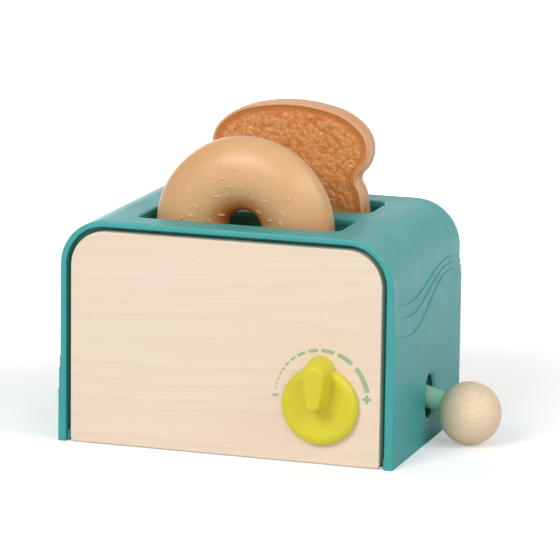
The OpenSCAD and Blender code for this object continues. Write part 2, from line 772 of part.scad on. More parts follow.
module bread_carrier() {
    slot_half = follower_r + face_gap;
    slot_left = follower_near - 2 * face_gap;
    slot_right = follower_rest[0] + 2 * face_gap;
    slot_mid = (slot_left + slot_right) / 2;
    lug_r = slot_half + lug_edge;
    lug_w = slot_right - slot_left + 2 * lug_r;
    color("#2f8582") difference() {
        union() {
            translate([0, slot_y, floor_z]) trough(0);
            translate([0, -slot_y, floor_z - bagel_sink]) trough(bagel_sink);
            difference() {
                for (x = [-post_x, slot_mid, post_x])
                    translate([x - beam_w / 2, -slot_y - trough_floor_w / 2, beam_z])
                        cube([beam_w, 2 * slot_y + trough_floor_w, beam_h + overlap]);
                translate([0, -slot_y, floor_z - bagel_sink]) trough_space(bagel_sink);
            }
            for (x = [-1, 1]) translate([x * post_x, post_y, beam_z - beam_h])
                cylinder(r = bush_r, h = 2 * beam_h + trough_wall);
            // spine that joins the three beams
            translate([-post_x, post_y - 2, beam_z]) cube([2 * post_x, 4, beam_h]);
            for (s = [-1, 1]) front_slab_at(lever_y + s * lug_mid, lug_t) {
                translate([slot_mid - lug_w / 2, follower_rest[1]])
                    square([lug_w, beam_z - follower_rest[1] + overlap]);
                for (x = [slot_left, slot_right]) translate([x, follower_rest[1]])
                    circle(lug_r);
                translate([slot_left, follower_rest[1] - lug_r])
                    square([slot_right - slot_left, lug_r]);
            }
        }
        for (s = [-1, 1]) front_slab_at(lever_y + s * lug_mid, lug_t + 2) {
            for (x = [slot_left, slot_right]) translate([x, follower_rest[1]]) circle(slot_half);
            translate([slot_left, follower_rest[1] - slot_half])
                square([slot_right - slot_left, 2 * slot_half]);
        }
        for (x = [-1, 1]) translate([x * post_x, post_y, 0])
            cylinder(r = post_r + run_fit, h = body_h);
    }
}

// ---- dial ----

module dial_knob() {
    plate_at = [dial_x, dial_z - dial_drop];
    color("#ddd53a") difference() {
        union() {
            translate([plate_at[0], dial_face, plate_at[1]]) rotate([90, 0, 0])
                rotate_extrude($fn = 96) {
                    square([dial_r - dial_edge_r, dial_t]);
                    square([dial_r, dial_t - dial_edge_r]);
                    translate([dial_r - dial_edge_r, dial_t - dial_edge_r]) intersection() {
                        circle(dial_edge_r);
                        square(dial_edge_r);
                    }
                }
            grip();
            y_rod([dial_x, dial_z], dial_face - 1, spindle_end, spindle_r);
        }
        y_rod([dial_x, dial_z], spindle_end - dial_screw_l - 1, spindle_end + 1, screw_r);
    }
}

// Slab with a rounded front edge, for one end of the grip
module grip_end(rise, r, y0, y1) {
    round_r = 1.2;
    translate([dial_x, y0, dial_z + rise]) rotate([90, 0, 0]) {
        cylinder(r = r, h = y0 - y1 - round_r, $fn = hull_fn);
        cylinder(r = r - round_r, h = y0 - y1, $fn = hull_fn);
    }
}

// Tapered grip that ends in the pointer's tip, over the plate's upper edge
module grip() {
    grip_front = dial_front - grip_h;
    hull() {
        grip_end(tip_rise, tip_r, dial_face, dial_front + 1);
        grip_end(-grip_foot_drop, grip_foot_r, dial_face, dial_front - 1);
        grip_end(tip_rise - 1.8, tip_r - 0.8, dial_front, grip_front);
        grip_end(-grip_foot_drop + 0.6, grip_foot_r - 0.3, dial_front, grip_front);
    }
}

module dial_bush() {
    bore = spindle_r + run_fit;
    color("#e9e7df") difference() {
        union() {
            y_rod([dial_x, dial_z], -half_d + face_gap, -panel_back, bore + bush_wall - fixed_fit);
            y_rod([dial_x, dial_z], -panel_back, -panel_back + bush_flange_t, bush_flange_r);
        }
        y_rod([dial_x, dial_z], -half_d - 1, spindle_end + 1, bore);
    }
}

module dial_washer() {
    color("#b9bcc0") difference() {
        y_rod([dial_x, dial_z], spindle_end, spindle_end + washer_t, washer_r);
        y_rod([dial_x, dial_z], spindle_end - 1, spindle_end + washer_t + 1, screw_r + clearance);
    }
}

module dial_screw() {
    color("#8e9297") translate([dial_x, spindle_end + washer_t, dial_z]) rotate([90, 0, 0])
        screw(dial_screw_l);
}

// ---- fasteners ----

module panel_screws() {
    for (p = panel_screw_places) translate([p[0], -flange_in, p[1]]) rotate([90, 0, 0])
        screw(flange_t + panel_bite);
}

module front_panel_screws() {
    color("#8e9297") panel_screws();
}

module rear_panel_screws() {
    color("#8e9297") mirror([0, 1, 0]) panel_screws();
}

module well_screws() {
    color("#8e9297") for (x = [-1, 1], y = [-1, 1])
        translate([x * well_screw_x, y * slot_y, well_ear_z]) screw(well_screw_l);
}

module bracket_screws() {
    color("#8e9297") for (y = [-1, 1], z = [-1, 1])
        translate([inner_w - bracket_t, lever_y + y * bracket_screw_y / 2,
            bracket_mid_z + z * bracket_screw_z / 2]) rotate([0, 90, 0]) screw(bracket_t + bracket_bite);
}

module base_screws() {
    color("#8e9297") for (x = [-1, 1], y = [-1, 1])
        translate([x * base_screw_x, y * base_screw_y, cup_h - 3]) screw(base_screw_l);
}

// ---- bagel ----

// Oval section of the bagel from four arcs, centred on its ring; grow moves it outwards
module bagel_oval(grow) {
    tangent_x = oval_x * oval_face_r / norm([oval_x, oval_face_r - oval_b]);
    for (s = [-1, 1]) translate([s * oval_x, 0]) circle(bagel_edge_r + grow);
    intersection() {
        translate([0, oval_b - oval_face_r]) circle(oval_face_r + grow, $fn = 96);
        translate([0, oval_face_r - oval_b]) circle(oval_face_r + grow, $fn = 96);
        square([2 * tangent_x, bagel_t], center = true);
    }
}

// Front half of the hollow bagel, about its own middle
module bagel_half() {
    rotate([90, 0, 0]) rotate_extrude($fn = 96) translate([bagel_mid_r, 0]) intersection() {
        difference() {
            bagel_oval(0);
            bagel_oval(-food_wall);
        }
        translate([-bagel_r, 0]) square([2 * bagel_r, bagel_t]);
    }
}

module bagel_front() {
    color("#deb07d") translate([bagel_x, -slot_y, bagel_z]) bagel_half();
}

module bagel_back() {
    color("#deb07d") translate([bagel_x, -slot_y, bagel_z]) mirror([0, 1, 0]) bagel_half();
}

// ---- toast ----

// Points round an arc, without the first one
function arc(mid, r, from, to, steps) =
    [for (i = [1:steps]) let (a = from + (to - from) * i / steps) mid + r * [cos(a), sin(a)]];

// Right half of the slice's outline, from the middle of its foot to the end of its crown: each arc
// of the crown runs on into the next
function toast_side() =
    let (lobe_x = toast_w / 2 - toast_lobe_r,
        crown_r = toast_shoulder_r + (lobe_x - (toast_shoulder_r - toast_lobe_r) * cos(shoulder_end))
            / cos(crown_end),
        crown = [0, toast_h - crown_r],
        shoulder = crown + (crown_r - toast_shoulder_r) * [cos(crown_end), sin(crown_end)],
        lobe = shoulder + (toast_shoulder_r - toast_lobe_r) * [cos(shoulder_end), sin(shoulder_end)],
        neck = lobe + (toast_lobe_r + toast_neck_r) * [cos(lobe_end), sin(lobe_end)],
        hip = neck + toast_neck_r * [cos(neck_end), sin(neck_end)],
        bend = [toast_foot_half, hip[1] - (toast_foot_half - hip[0]) / tan(neck_end - 180)],
        low = [toast_foot_half, toast_h / 4],
        foot = [toast_foot_half - toast_foot_r, toast_foot_r])
    concat(
        [for (i = [1:4]) [i * foot[0] / 4, 0]],
        arc(foot, toast_foot_r, -90, 0, 5),
        [for (t = [0:1/6:1.01]) (1 - t) * (1 - t) * low + 2 * t * (1 - t) * bend + t * t * hip],
        arc(neck, toast_neck_r, neck_end, lobe_end + 180, 5),
        arc(lobe, toast_lobe_r, lobe_end, shoulder_end, 8),
        arc(shoulder, toast_shoulder_r, shoulder_end, crown_end, 4),
        arc(crown, crown_r, crown_end, 90 - (90 - crown_end) / 4, 3));

// Whole outline, counter-clockwise, with each point once
function toast_outline() =
    let (side = toast_side(), last = len(side) - 1)
    concat([[0, 0]], side, [[0, toast_h]],
        [for (i = [0:last]) [-side[last - i][0], side[last - i][1]]]);

// The outline moved inwards by d
function inset(points, d) =
    let (n = len(points))
    [for (i = [0:n - 1])
        let (a = points[(i + n - 1) % n], b = points[(i + 1) % n], along = (b - a) / norm(b - a))
        points[i] + d * [-along[1], along[0]]];

// Closed body from rings of equal length, with flat ends that fan out from a middle point;
// each step is [inset, depth]
module ring_loft(points, middle, steps) {
    n = len(points);
    last = len(steps) - 1;
    rings = [for (s = steps) [for (p = inset(points, s[0])) [p[0], s[1], p[1]]]];
    front_mid = n * (last + 1);
    polyhedron(
        points = concat([for (ring = rings) for (p = ring) p],
            [for (k = [0, last]) [middle[0], steps[k][1], middle[1]]]),
        faces = [for (i = [0:n - 1]) let (j = (i + 1) % n) each concat(
            [[j, i, front_mid], [last * n + i, last * n + j, front_mid + 1]],
            [for (k = [0:last - 1]) each [[k * n + i, k * n + j, (k + 1) * n + j],
                [k * n + i, (k + 1) * n + j, (k + 1) * n + i]]])]);
}

// Front half of the hollow slice: crumb, raised crust with a rounded edge, and the hollow behind
module toast_half() {
    face = -toast_t / 2;
    hollow = face + crumb_d + food_wall;
    ring_loft(toast_outline(), [0, toast_h / 2], concat(
        [[crust_w + 0.6, face + crumb_d], [crust_w, face + 0.1], [crust_r, face]],
        [for (a = [22.5:22.5:90]) [crust_r * (1 - sin(a)), face + crust_r * (1 - cos(a))]],
        [[0, 0], [food_wall, 0], [food_wall, hollow + 1], [food_wall + 1, hollow]]));
}

module toast_front() {
    color("#c87f45") translate([toast_x, slot_y, bread_z]) toast_half();
}

module toast_back() {
    color("#c87f45") translate([toast_x, slot_y, bread_z]) mirror([0, 1, 0]) toast_half();
}

shell();
front_panel();
rear_panel();
base_plate();
front_well();
rear_well();
guide_posts();
pivot_bracket();
bread_carrier();
lever_arm();
lever_ball();
pivot_pin();
pin_clip();
follower_pin();
dial_knob();
dial_bush();
dial_washer();
dial_screw();
front_panel_screws();
rear_panel_screws();
well_screws();
bracket_screws();
base_screws();
bagel_front();
bagel_back();
toast_front();
toast_back();
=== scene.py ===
# Toy toaster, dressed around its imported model. Lengths are in millimetres and angles in degrees
# until a mesh is made; Blender's own units are metres.
import math

import bmesh
import bpy
from mathutils import Matrix, Vector, noise


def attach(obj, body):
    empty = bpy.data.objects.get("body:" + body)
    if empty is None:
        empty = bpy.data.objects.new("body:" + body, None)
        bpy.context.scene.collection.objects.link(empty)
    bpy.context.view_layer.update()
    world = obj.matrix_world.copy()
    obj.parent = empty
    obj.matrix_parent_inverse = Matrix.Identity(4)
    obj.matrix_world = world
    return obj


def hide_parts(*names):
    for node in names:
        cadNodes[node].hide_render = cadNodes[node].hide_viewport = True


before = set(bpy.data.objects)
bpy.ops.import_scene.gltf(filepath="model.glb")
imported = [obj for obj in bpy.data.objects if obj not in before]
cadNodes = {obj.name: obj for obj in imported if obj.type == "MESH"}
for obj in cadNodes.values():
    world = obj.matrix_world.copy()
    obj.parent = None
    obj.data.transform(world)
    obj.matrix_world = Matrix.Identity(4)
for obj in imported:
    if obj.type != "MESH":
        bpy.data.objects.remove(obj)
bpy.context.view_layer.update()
mm = 0.001


# Camera, set first so that every piece can be judged from it

cameraFacts = {"lens": 256.34, "sensor": 36, "azimuth": 18.035, "elevation": 11.734, "roll": 0.731,
               "distance": 2337.3, "target": (10.54, 0, 90.425)}


def linked(name, data):
    thing = bpy.data.objects.new(name, data)
    bpy.context.scene.collection.objects.link(thing)
    return thing


def addCamera(facts):
    azimuth, elevation = math.radians(facts["azimuth"]), math.radians(facts["elevation"])
    back = Vector((math.sin(azimuth) * math.cos(elevation), -math.cos(azimuth) * math.cos(elevation),
                   math.sin(elevation)))
    right = Vector((math.cos(azimuth), math.sin(azimuth), 0))
    turn = Matrix((right, back.cross(right), back)).transposed()  # columns are the camera's axes
    turn = turn @ Matrix.Rotation(math.radians(facts["roll"]), 3, "Z")
    data = bpy.data.cameras.new("photoView")
    data.lens, data.sensor_width, data.clip_end = facts["lens"], facts["sensor"], 100
    camera = linked("photoView", data)
    place = (Vector(facts["target"]) + back * facts["distance"]) * mm
    camera.matrix_world = Matrix.Translation(place) @ turn.to_4x4()
    bpy.context.scene.camera = camera


addCamera(cameraFacts)


# Small helpers for nodes and materials

def linear(hexColour):
    channels = [int(hexColour[i:i + 2], 16) / 255 for i in (1, 3, 5)]
    return [c / 12.92 if c <= 0.04045 else ((c + 0.055) / 1.055) ** 2.4 for c in channels] + [1]


def plug(source, node, socket):
    # a node stands for the first of its outputs that is in use
    if isinstance(source, bpy.types.Node):
        source = next(output for output in source.outputs if output.enabled)
    node.id_data.links.new(source, node.inputs[socket])


def add(tree, kind, inputs=(), **settings):
    # one node of any kind; its inputs come in order or by name, and each is a value, a hex colour,
    # a socket or a node
    node = tree.nodes.new(kind)
    for name, value in settings.items():
        setattr(node, name, value)
    for name, value in inputs.items() if isinstance(inputs, dict) else enumerate(inputs):
        if isinstance(value, (bpy.types.Node, bpy.types.NodeSocket)):
            plug(value, node, name)
        elif isinstance(value, str) and value.startswith("#"):
            node.inputs[name].default_value = linear(value)
        else:
            node.inputs[name].default_value = value
    return node


def stretched(tree, scale=(1, 1, 1), turn=(0, 0, 0), centre=(0, 0, 0)):
    # object coordinates, moved to a centre, turned, then stretched; lengths in millimetres
    place = add(tree, "ShaderNodeTexCoord").outputs["Object"]
    shifted = add(tree, "ShaderNodeVectorMath", (place, [c * mm for c in centre]), operation="SUBTRACT")
    turned = add(tree, "ShaderNodeMapping",
                 {"Vector": shifted, "Rotation": [math.radians(a) for a in turn]})
    return add(tree, "ShaderNodeVectorMath", (turned, scale), operation="MULTIPLY")


def warped(tree, place, size, reach):
    # coordinates pushed up and down by slow noise, so that straight bands run in curves
    slow = add(tree, "ShaderNodeTexNoise", {"Vector": place, "Scale": 1 / (size * mm), "Detail": 1})
    push = add(tree, "ShaderNodeMapRange", (slow, 0.2, 0.8, -reach * mm, reach * mm))
    shift = add(tree, "ShaderNodeVectorMath", {0: (0, 0, 1), "Scale": push}, operation="SCALE")
    return add(tree, "ShaderNodeVectorMath", (place, shift), operation="ADD")


def newMaterial(name, shaderValues):
    material = bpy.data.materials.new(name)
    material.use_nodes = True
    shader = material.node_tree.nodes["Principled BSDF"]
    for socket, value in shaderValues.items():
        shader.inputs[socket].default_value = value
    return material, material.node_tree, shader


# Materials, each named for what the real one is; some carry painted shade

bandStep = 0.314    # a wave texture's own bands are this far apart at scale 1

def mouldedPlastic(name, colour, shade, roughness=0.42, texture=0.9, depth=0.012):
    # injection-moulded plastic from a spark-eroded mould: an even satin with a faint cloudy sheen.
    # The real texture is about 0.1 mm; it is drawn coarser, or the render couldn't show it.
    material, tree, shader = newMaterial(name, {"IOR": 1.5, "Roughness": roughness})
    place = stretched(tree)
    cloud = add(tree, "ShaderNodeTexNoise", {"Vector": place, "Scale": 1 / (38 * mm)})
    share = add(tree, "ShaderNodeMapRange", (cloud, 0.35, 0.65))
    tint = add(tree, "ShaderNodeMix", {0: share, 6: colour, 7: shade}, data_type="RGBA")
    plug(tint, shader, "Base Color")
    sheen = add(tree, "ShaderNodeTexNoise", {"Vector": place, "Scale": 1 / (14 * mm)})
    plug(add(tree, "ShaderNodeMapRange", (sheen, 0.3, 0.7, roughness - 0.04, roughness + 0.05)),
         shader, "Roughness")
    grit = add(tree, "ShaderNodeTexNoise", {"Vector": place, "Scale": 1 / (texture * mm), "Roughness": 0.6})
    plug(add(tree, "ShaderNodeBump", {"Height": grit, "Distance": depth * mm}), shader, "Normal")
    return material


def basswoodVeneer():
    # rotary-cut basswood face veneer, sanded and clear lacquered: pale pinkish cream, almost matt,
    # with faint long growth lines that run in slow curves and hardly any flecks
    material, tree, shader = newMaterial("basswoodVeneerLacquered", {"IOR": 1.48, "Roughness": 0.5})
    slanted = stretched(tree, (0.12, 1, 1), (0, 5, 0))
    lines = add(tree, "ShaderNodeTexWave",
                {"Vector": warped(tree, slanted, 34, 17), "Scale": bandStep / (12.5 * mm),
                 "Distortion": 1.4, "Detail": 3, "Detail Scale": 1.3, "Detail Roughness": 0.6,
                 "Phase Offset": 1.2}, bands_direction="Z", wave_profile="SAW")
    # bundles about 1 mm wide
    fibre = add(tree, "ShaderNodeTexNoise",
                {"Vector": stretched(tree, (0.03, 1, 1), (0, 3, 0)), "Scale": 1 / (1.1 * mm),
                 "Detail": 4, "Roughness": 0.65})
    broad = add(tree, "ShaderNodeTexNoise",
                {"Vector": stretched(tree, (0.2, 1, 1), (0, 5, 0)), "Scale": 1 / (24 * mm)})
    fleck = add(tree, "ShaderNodeTexNoise",
                {"Vector": stretched(tree, (0.16, 1, 1)), "Scale": 1 / (0.9 * mm), "Detail": 1})
    late = add(tree, "ShaderNodeMath", (lines, 2), operation="POWER")
    fine = add(tree, "ShaderNodeMapRange", (fibre, 0.3, 0.75, 0, 0.34))
    figure = add(tree, "ShaderNodeMath", (late, 0.42, fine), operation="MULTIPLY_ADD")
    blush = add(tree, "ShaderNodeMapRange", (broad, 0.35, 0.7, 0, 0.6))
    dots = add(tree, "ShaderNodeMapRange", (fleck, 0.68, 0.76, 0, 0.16))
    tint = "#f1dfca"
    for share, colour in ((figure, "#e5cdae"), (blush, "#efd8c6"), (dots, "#cda77c")):
        tint = add(tree, "ShaderNodeMix", {0: share, 6: tint, 7: colour}, data_type="RGBA")
    plug(tint, shader, "Base Color")
    plug(add(tree, "ShaderNodeMapRange", (fibre, 0.3, 0.7, 0.46, 0.58)), shader, "Roughness")
    plug(add(tree, "ShaderNodeBump", {"Height": fibre, "Distance": 0.02 * mm, "Strength": 0.5}),
         shader, "Normal")
    return material


def turnedBeech(facts):
    # beech ball, turned and waxed: growth rings cut across as fine faint bands round an eye that
    # lies high on the front, short pale flecks, a low sheen
    material, tree, shader = newMaterial("beechTurnedWaxed", {"IOR": 1.48, "Roughness": 0.48})
    turn, middle = facts["grainTurn"], facts["middle"]
    flat = stretched(tree, (0.3, 0.7, 1), turn, middle)
    rings = add(tree, "ShaderNodeTexWave",
                {"Vector": warped(tree, flat, 9, 1.4), "Scale": bandStep / (facts["ringSpacing"] * mm),
                 "Distortion": 0.9, "Detail": 2, "Detail Scale": 1.5, "Detail Roughness": 0.5},
                bands_direction="Z", wave_profile="SAW")
    fibre = add(tree, "ShaderNodeTexNoise",
                {"Vector": stretched(tree, (0.08, 1, 1), turn, middle), "Scale": 1 / (0.7 * mm),
                 "Detail": 3, "Roughness": 0.6})
    fleck = add(tree, "ShaderNodeTexNoise",
                {"Vector": stretched(tree, (0.2, 1, 1), turn, middle), "Scale": 1 / (0.7 * mm),
                 "Detail": 1})
    late = add(tree, "ShaderNodeMath", (rings, 2), operation="POWER")
    fine = add(tree, "ShaderNodeMapRange", (fibre, 0.3, 0.75, 0, 0.3))
    figure = add(tree, "ShaderNodeMath", (late, 0.28, fine), operation="MULTIPLY_ADD")
    dots = add(tree, "ShaderNodeMapRange", (fleck, 0.64, 0.74, 0, 0.25))
    tint = "#f8dfc0"
    for share, colour in ((figure, "#e3b78b"), (dots, "#cfa57a")):
        tint = add(tree, "ShaderNodeMix", {0: share, 6: tint, 7: colour}, data_type="RGBA")
    plug(tint, shader, "Base Color")
    plug(add(tree, "ShaderNodeBump", {"Height": fibre, "Distance": 0.03 * mm, "Strength": 0.5}),
         shader, "Normal")
    return material


def zincSteel():
    # drawn steel, bright zinc plated: bluish grey metal with fine drawing marks
    material, tree, shader = newMaterial("zincPlatedSteel", {"Metallic": 1, "Roughness": 0.3})
    cloud = add(tree, "ShaderNodeTexNoise", {"Vector": stretched(tree), "Scale": 1 / (5 * mm)})
    share = add(tree, "ShaderNodeMapRange", (cloud, 0.35, 0.65))
    tint = add(tree, "ShaderNodeMix", {0: share, 6: "#c3c7cd", 7: "#a9adb3"}, data_type="RGBA")
    plug(tint, shader, "Base Color")
    marks = add(tree, "ShaderNodeTexNoise",
                {"Vector": stretched(tree, (1, 1, 0.08)), "Scale": 1 / (0.5 * mm)})
    plug(add(tree, "ShaderNodeMapRange", (marks, 0.3, 0.7, 0.24, 0.4)), shader, "Roughness")
    plug(add(tree, "ShaderNodeBump", {"Height": marks, "Distance": 0.01 * mm}), shader, "Normal")
    return material


def toastCrumb(facts):
    # vinyl cast from real bread; painted shade lies dark orange in the hollows, and painted light makes
    # the tops of the lumps paler
    material, tree, shader = newMaterial("castVinylCrumb", {"IOR": 1.5, "Roughness": 0.36})
    place = stretched(tree)
    depth = add(tree, "ShaderNodeSeparateXYZ", (stretched(tree, centre=facts["middle"]),))
    rise = add(tree, "ShaderNodeMath", (depth.outputs[1],), operation="ABSOLUTE")
    level = (facts["half"] - facts["crumbDepth"] - facts["hollow"]) * mm
    # painted highlight on the high lump tops, painted shade left in the low hollows
    high = add(tree, "ShaderNodeMapRange", (rise, level + 0.1 * mm, level + 0.5 * mm))
    small = add(tree, "ShaderNodeTexNoise",
                {"Vector": place, "Scale": 1 / (1.6 * mm), "Detail": 3, "Roughness": 0.6})
    lumps = add(tree, "ShaderNodeMapRange", (small, 0.35, 0.65))
    paintedLitTops = add(tree, "ShaderNodeMath", (high, 0.6), operation="MULTIPLY")
    paintedLightAndShade = add(tree, "ShaderNodeMath", (lumps, 0.4, paintedLitTops), operation="MULTIPLY_ADD")
    # the slope under the crust keeps its painted shade
    slope = add(tree, "ShaderNodeMapRange", (rise, level + 0.6 * mm, level + 0.8 * mm))
    paintedLightAndShade = add(tree, "ShaderNodeMath", (paintedLightAndShade, slope), operation="SUBTRACT")
    cloud = add(tree, "ShaderNodeTexNoise", {"Vector": place, "Scale": 1 / (24 * mm)})
    toasted = add(tree, "ShaderNodeMapRange", (cloud, 0.35, 0.7, 0, 0.4))
    tint = "#c96d2d"
    for share, colour in ((paintedLightAndShade, "#eda766"), (toasted, "#d5843f")):
        tint = add(tree, "ShaderNodeMix", {0: share, 6: tint, 7: colour}, data_type="RGBA")
    plug(tint, shader, "Base Color")
    plug(add(tree, "ShaderNodeBump", {"Height": small, "Distance": 0.22 * mm}), shader, "Normal")
    return material


def bagelVinyl(facts):
    # rotation-moulded vinyl: a satin tan skin, with painted shade that turns it browner towards the hole
    material, tree, shader = newMaterial("satinVinylBagel", {"IOR": 1.5, "Roughness": 0.36})
    place = stretched(tree, centre=facts["middle"])
    flat = add(tree, "ShaderNodeVectorMath", (place, (1, 0, 1)), operation="MULTIPLY")
    away = add(tree, "ShaderNodeVectorMath", (flat,), operation="LENGTH")
    cloud = add(tree, "ShaderNodeTexNoise", {"Vector": place, "Scale": 1 / (30 * mm)})
    patches = add(tree, "ShaderNodeMapRange", (cloud, 0.35, 0.65))
    low, high = facts["holeShadeFrom"], facts["holeShadeTo"]
    # painted shade and bounced orange light inside the hole, fading out with distance from the middle
    paintedHoleShade = add(tree, "ShaderNodeMapRange", (away, low * mm, high * mm, 0.95, 0))
    tint = "#dfae7b"
    for share, colour in ((patches, "#dba773"), (paintedHoleShade, "#d17a3c")):
        tint = add(tree, "ShaderNodeMix", {0: share, 6: tint, 7: colour}, data_type="RGBA")
    plug(tint, shader, "Base Color")
    sheen = add(tree, "ShaderNodeTexNoise", {"Vector": place, "Scale": 1 / (14 * mm)})
    plug(add(tree, "ShaderNodeMapRange", (sheen, 0.3, 0.7, 0.33, 0.41)), shader, "Roughness")
    grit = add(tree, "ShaderNodeTexNoise", {"Vector": place, "Scale": 1 / (1.4 * mm), "Roughness": 0.6})
    plug(add(tree, "ShaderNodeBump", {"Height": grit, "Distance": 0.012 * mm}), shader, "Normal")
    return material


def printedInk():
    # pad-printed ink on the lacquer: thin, matt, a little uneven
    material, tree, shader = newMaterial("padPrintedInk", {"IOR": 1.45, "Roughness": 0.6})
    cover = add(tree, "ShaderNodeTexNoise",
                {"Vector": stretched(tree, (0.2, 1, 1)), "Scale": 1 / (0.8 * mm), "Detail": 3})
    share = add(tree, "ShaderNodeMapRange", (cover, 0.35, 0.7))
    tint = add(tree, "ShaderNodeMix", {0: share, 6: "#9db891", 7: "#a9bf9a"}, data_type="RGBA")
    plug(tint, shader, "Base Color")
    fibre = add(tree, "ShaderNodeTexNoise",
                {"Vector": stretched(tree, (0.05, 1, 1)), "Scale": 1 / (0.9 * mm)})
    plug(add(tree, "ShaderNodeBump", {"Height": fibre, "Distance": 0.01 * mm}), shader, "Normal")
    return material


teal = mouldedPlastic("satinAbsTeal", "#3a9f9f", "#3ea3a2")
# the same teal ABS, made darker as painted shade for the parts inside the housing
tealPaintedShade = mouldedPlastic("satinAbsTealPaintedShade", "#2a7f7d", "#2d8582")
mint = mouldedPlastic("satinPolypropyleneMint", "#93cdb0", "#97d1b4", 0.4)
lime = mouldedPlastic("satinAbsLime", "#d9ce28", "#dbd02b", 0.42)
# the pivot bracket's plastic, made near black as painted shade seen through the lever slot
bracketPaintedShade = mouldedPlastic("bracketPlasticPaintedShadeBlack", "#16292b", "#1a2f31", 0.5)
white = mouldedPlastic("acetalNatural", "#ece9df", "#e6e2d6", 0.35)
sesameTan = mouldedPlastic("satinVinylSesame", "#e8b987", "#e4b27e", 0.42, 1.4, 0.01)
crustTan = mouldedPlastic("satinVinylCrust", "#e3a675", "#dd9e6b", 0.4, 1.2, 0.015)
veneer = basswoodVeneer()
steel = zincSteel()
ink = printedInk()
print("materials ready:", len(bpy.data.materials))


# Small helpers for shapes; a shape is a list of points in millimetres and a list of faces

def skin(rings, capped=False):
    # walls between rings of equal length; a ring may shrink to one point
    count = len(rings[0])
    points = [tuple(p) for ring in rings for p in ring]
    faces = []
    for row in range(len(rings) - 1):
        for i in range(count):
            j = (i + 1) % count
            faces.append((row * count + i, row * count + j, (row + 1) * count + j, (row + 1) * count + i))
    if capped:
        faces += [tuple(range(count)), tuple(range(len(points) - count, len(points)))]
    return points, faces


def joined(*shapes):
    points, faces = [], []
    for shapePoints, shapeFaces in shapes:
        start = len(points)
        points += shapePoints
        faces += [tuple(start + i for i in face) for face in shapeFaces]
    return points, faces


def moved(shape, place):
    return [tuple(place @ Vector(p)) for p in shape[0]], shape[1]


def block(low, high):
    ring = [(low[0], low[1]), (high[0], low[1]), (high[0], high[1]), (low[0], high[1])]
    return skin([[(x, y, z) for x, y in ring] for z in (low[2], high[2])], True)


def lathe(profile, steps=48):
    # turned about Z from (radius, height) pairs
    turns = [math.tau * i / steps for i in range(steps)]
    return skin([[(r * math.cos(a), r * math.sin(a), h) for a in turns] for r, h in profile])


def rod(start, end, radius, steps=24):
    # closed cylinder between two points
    along = Vector(end) - Vector(start)
    place = Matrix.Translation(start) @ along.to_track_quat("Z", "X").to_matrix().to_4x4()
    return moved(lathe([(0, 0), (radius, 0), (radius, along.length), (0, along.length)], steps), place)


def angles(step, first, last):
    # whole steps of some degrees, in radians
    return [math.radians(step * i) for i in range(first, last + 1)]


def arc(middle, radius, start, stop, steps):
    turns = [math.radians(start + (stop - start) * i / steps) for i in range(steps + 1)]
    return [(middle[0] + radius * math.cos(a), middle[1] + radius * math.sin(a)) for a in turns]


def roundRect(left, right, low, high, topRadius, footRadius, steps):
    # outline with its own corner radius above and below, counter-clockwise
    top, foot = topRadius, footRadius
    return (arc((right - foot, low + foot), foot, -90, 0, steps)
            + arc((right - top, high - top), top, 0, 90, steps)
            + arc((left + top, high - top), top, 90, 180, steps)
            + arc((left + foot, low + foot), foot, 180, 270, steps))


def inset(outline, depth):
    # a closed counter-clockwise outline moved inwards
    result = []
    for i, point in enumerate(outline):
        before, after = outline[i - 1], outline[(i + 1) % len(outline)]
        dx, dy = after[0] - before[0], after[1] - before[1]
        size = math.hypot(dx, dy)
        result.append((point[0] - depth * dy / size, point[1] + depth * dx / size))
    return result


def facing(outline, depth):
    # an outline (across, up) laid parallel to the front at one depth
    return [(x, depth, z) for x, z in outline]


def makePiece(name, shape, material, sharp=32, second=None):
    # closed mesh object at the origin: doubles merged, faces turned outwards, smooth up to an angle;
    # second is another material and the number of the first face that takes it
    mesh = bpy.data.meshes.new(name)
    mesh.from_pydata([[c * mm for c in p] for p in shape[0]], [], shape[1])
    if second:
        for face in mesh.polygons[second[1]:]:
            face.material_index = 1
    work = bmesh.new()
    work.from_mesh(mesh)
    bmesh.ops.remove_doubles(work, verts=work.verts, dist=0.0004 * mm)
    bmesh.ops.recalc_face_normals(work, faces=work.faces)
    work.to_mesh(mesh)
    work.free()
    piece = linked(name, mesh)
    for each in (material, second[0]) if second else (material,):
        mesh.materials.append(each)
    smoothed(piece, sharp)
    return piece


def smoothed(piece, sharp):
    piece.data.shade_smooth()
    piece.data.set_sharp_from_angle(angle=math.radians(sharp))


def plain(piece):
    # what the modifiers give becomes the piece's own mesh
    bpy.context.view_layer.update()
    graph = bpy.context.evaluated_depsgraph_get()
    mesh = bpy.data.meshes.new_from_object(piece.evaluated_get(graph))
    piece.modifiers.clear()
    old, piece.data = piece.data, mesh
    bpy.data.meshes.remove(old)
    return piece


def combine(piece, shape, operation):
    tool = makePiece("tool", shape, piece.data.materials[0])
    change = piece.modifiers.new("combine", "BOOLEAN")
    change.operation, change.object, change.solver, change.use_self = operation, tool, "EXACT", True
    plain(piece)
    mesh = tool.data
    bpy.data.objects.remove(tool)
    bpy.data.meshes.remove(mesh)
    return piece


def weighted(piece, sharp=32):
    # large flat faces keep their own direction where a small round edge meets them
    smoothed(piece, sharp)
    normals = piece.modifiers.new("normals", "WEIGHTED_NORMAL")
    normals.keep_sharp, normals.weight = True, 60
    return plain(piece)


def carried(piece, body, slotName, *replacedNodes):
    if replacedNodes:
        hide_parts(*replacedNodes)
    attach(piece, body)
    print("piece:", piece.name, len(piece.data.polygons), "faces on", body)
    return piece


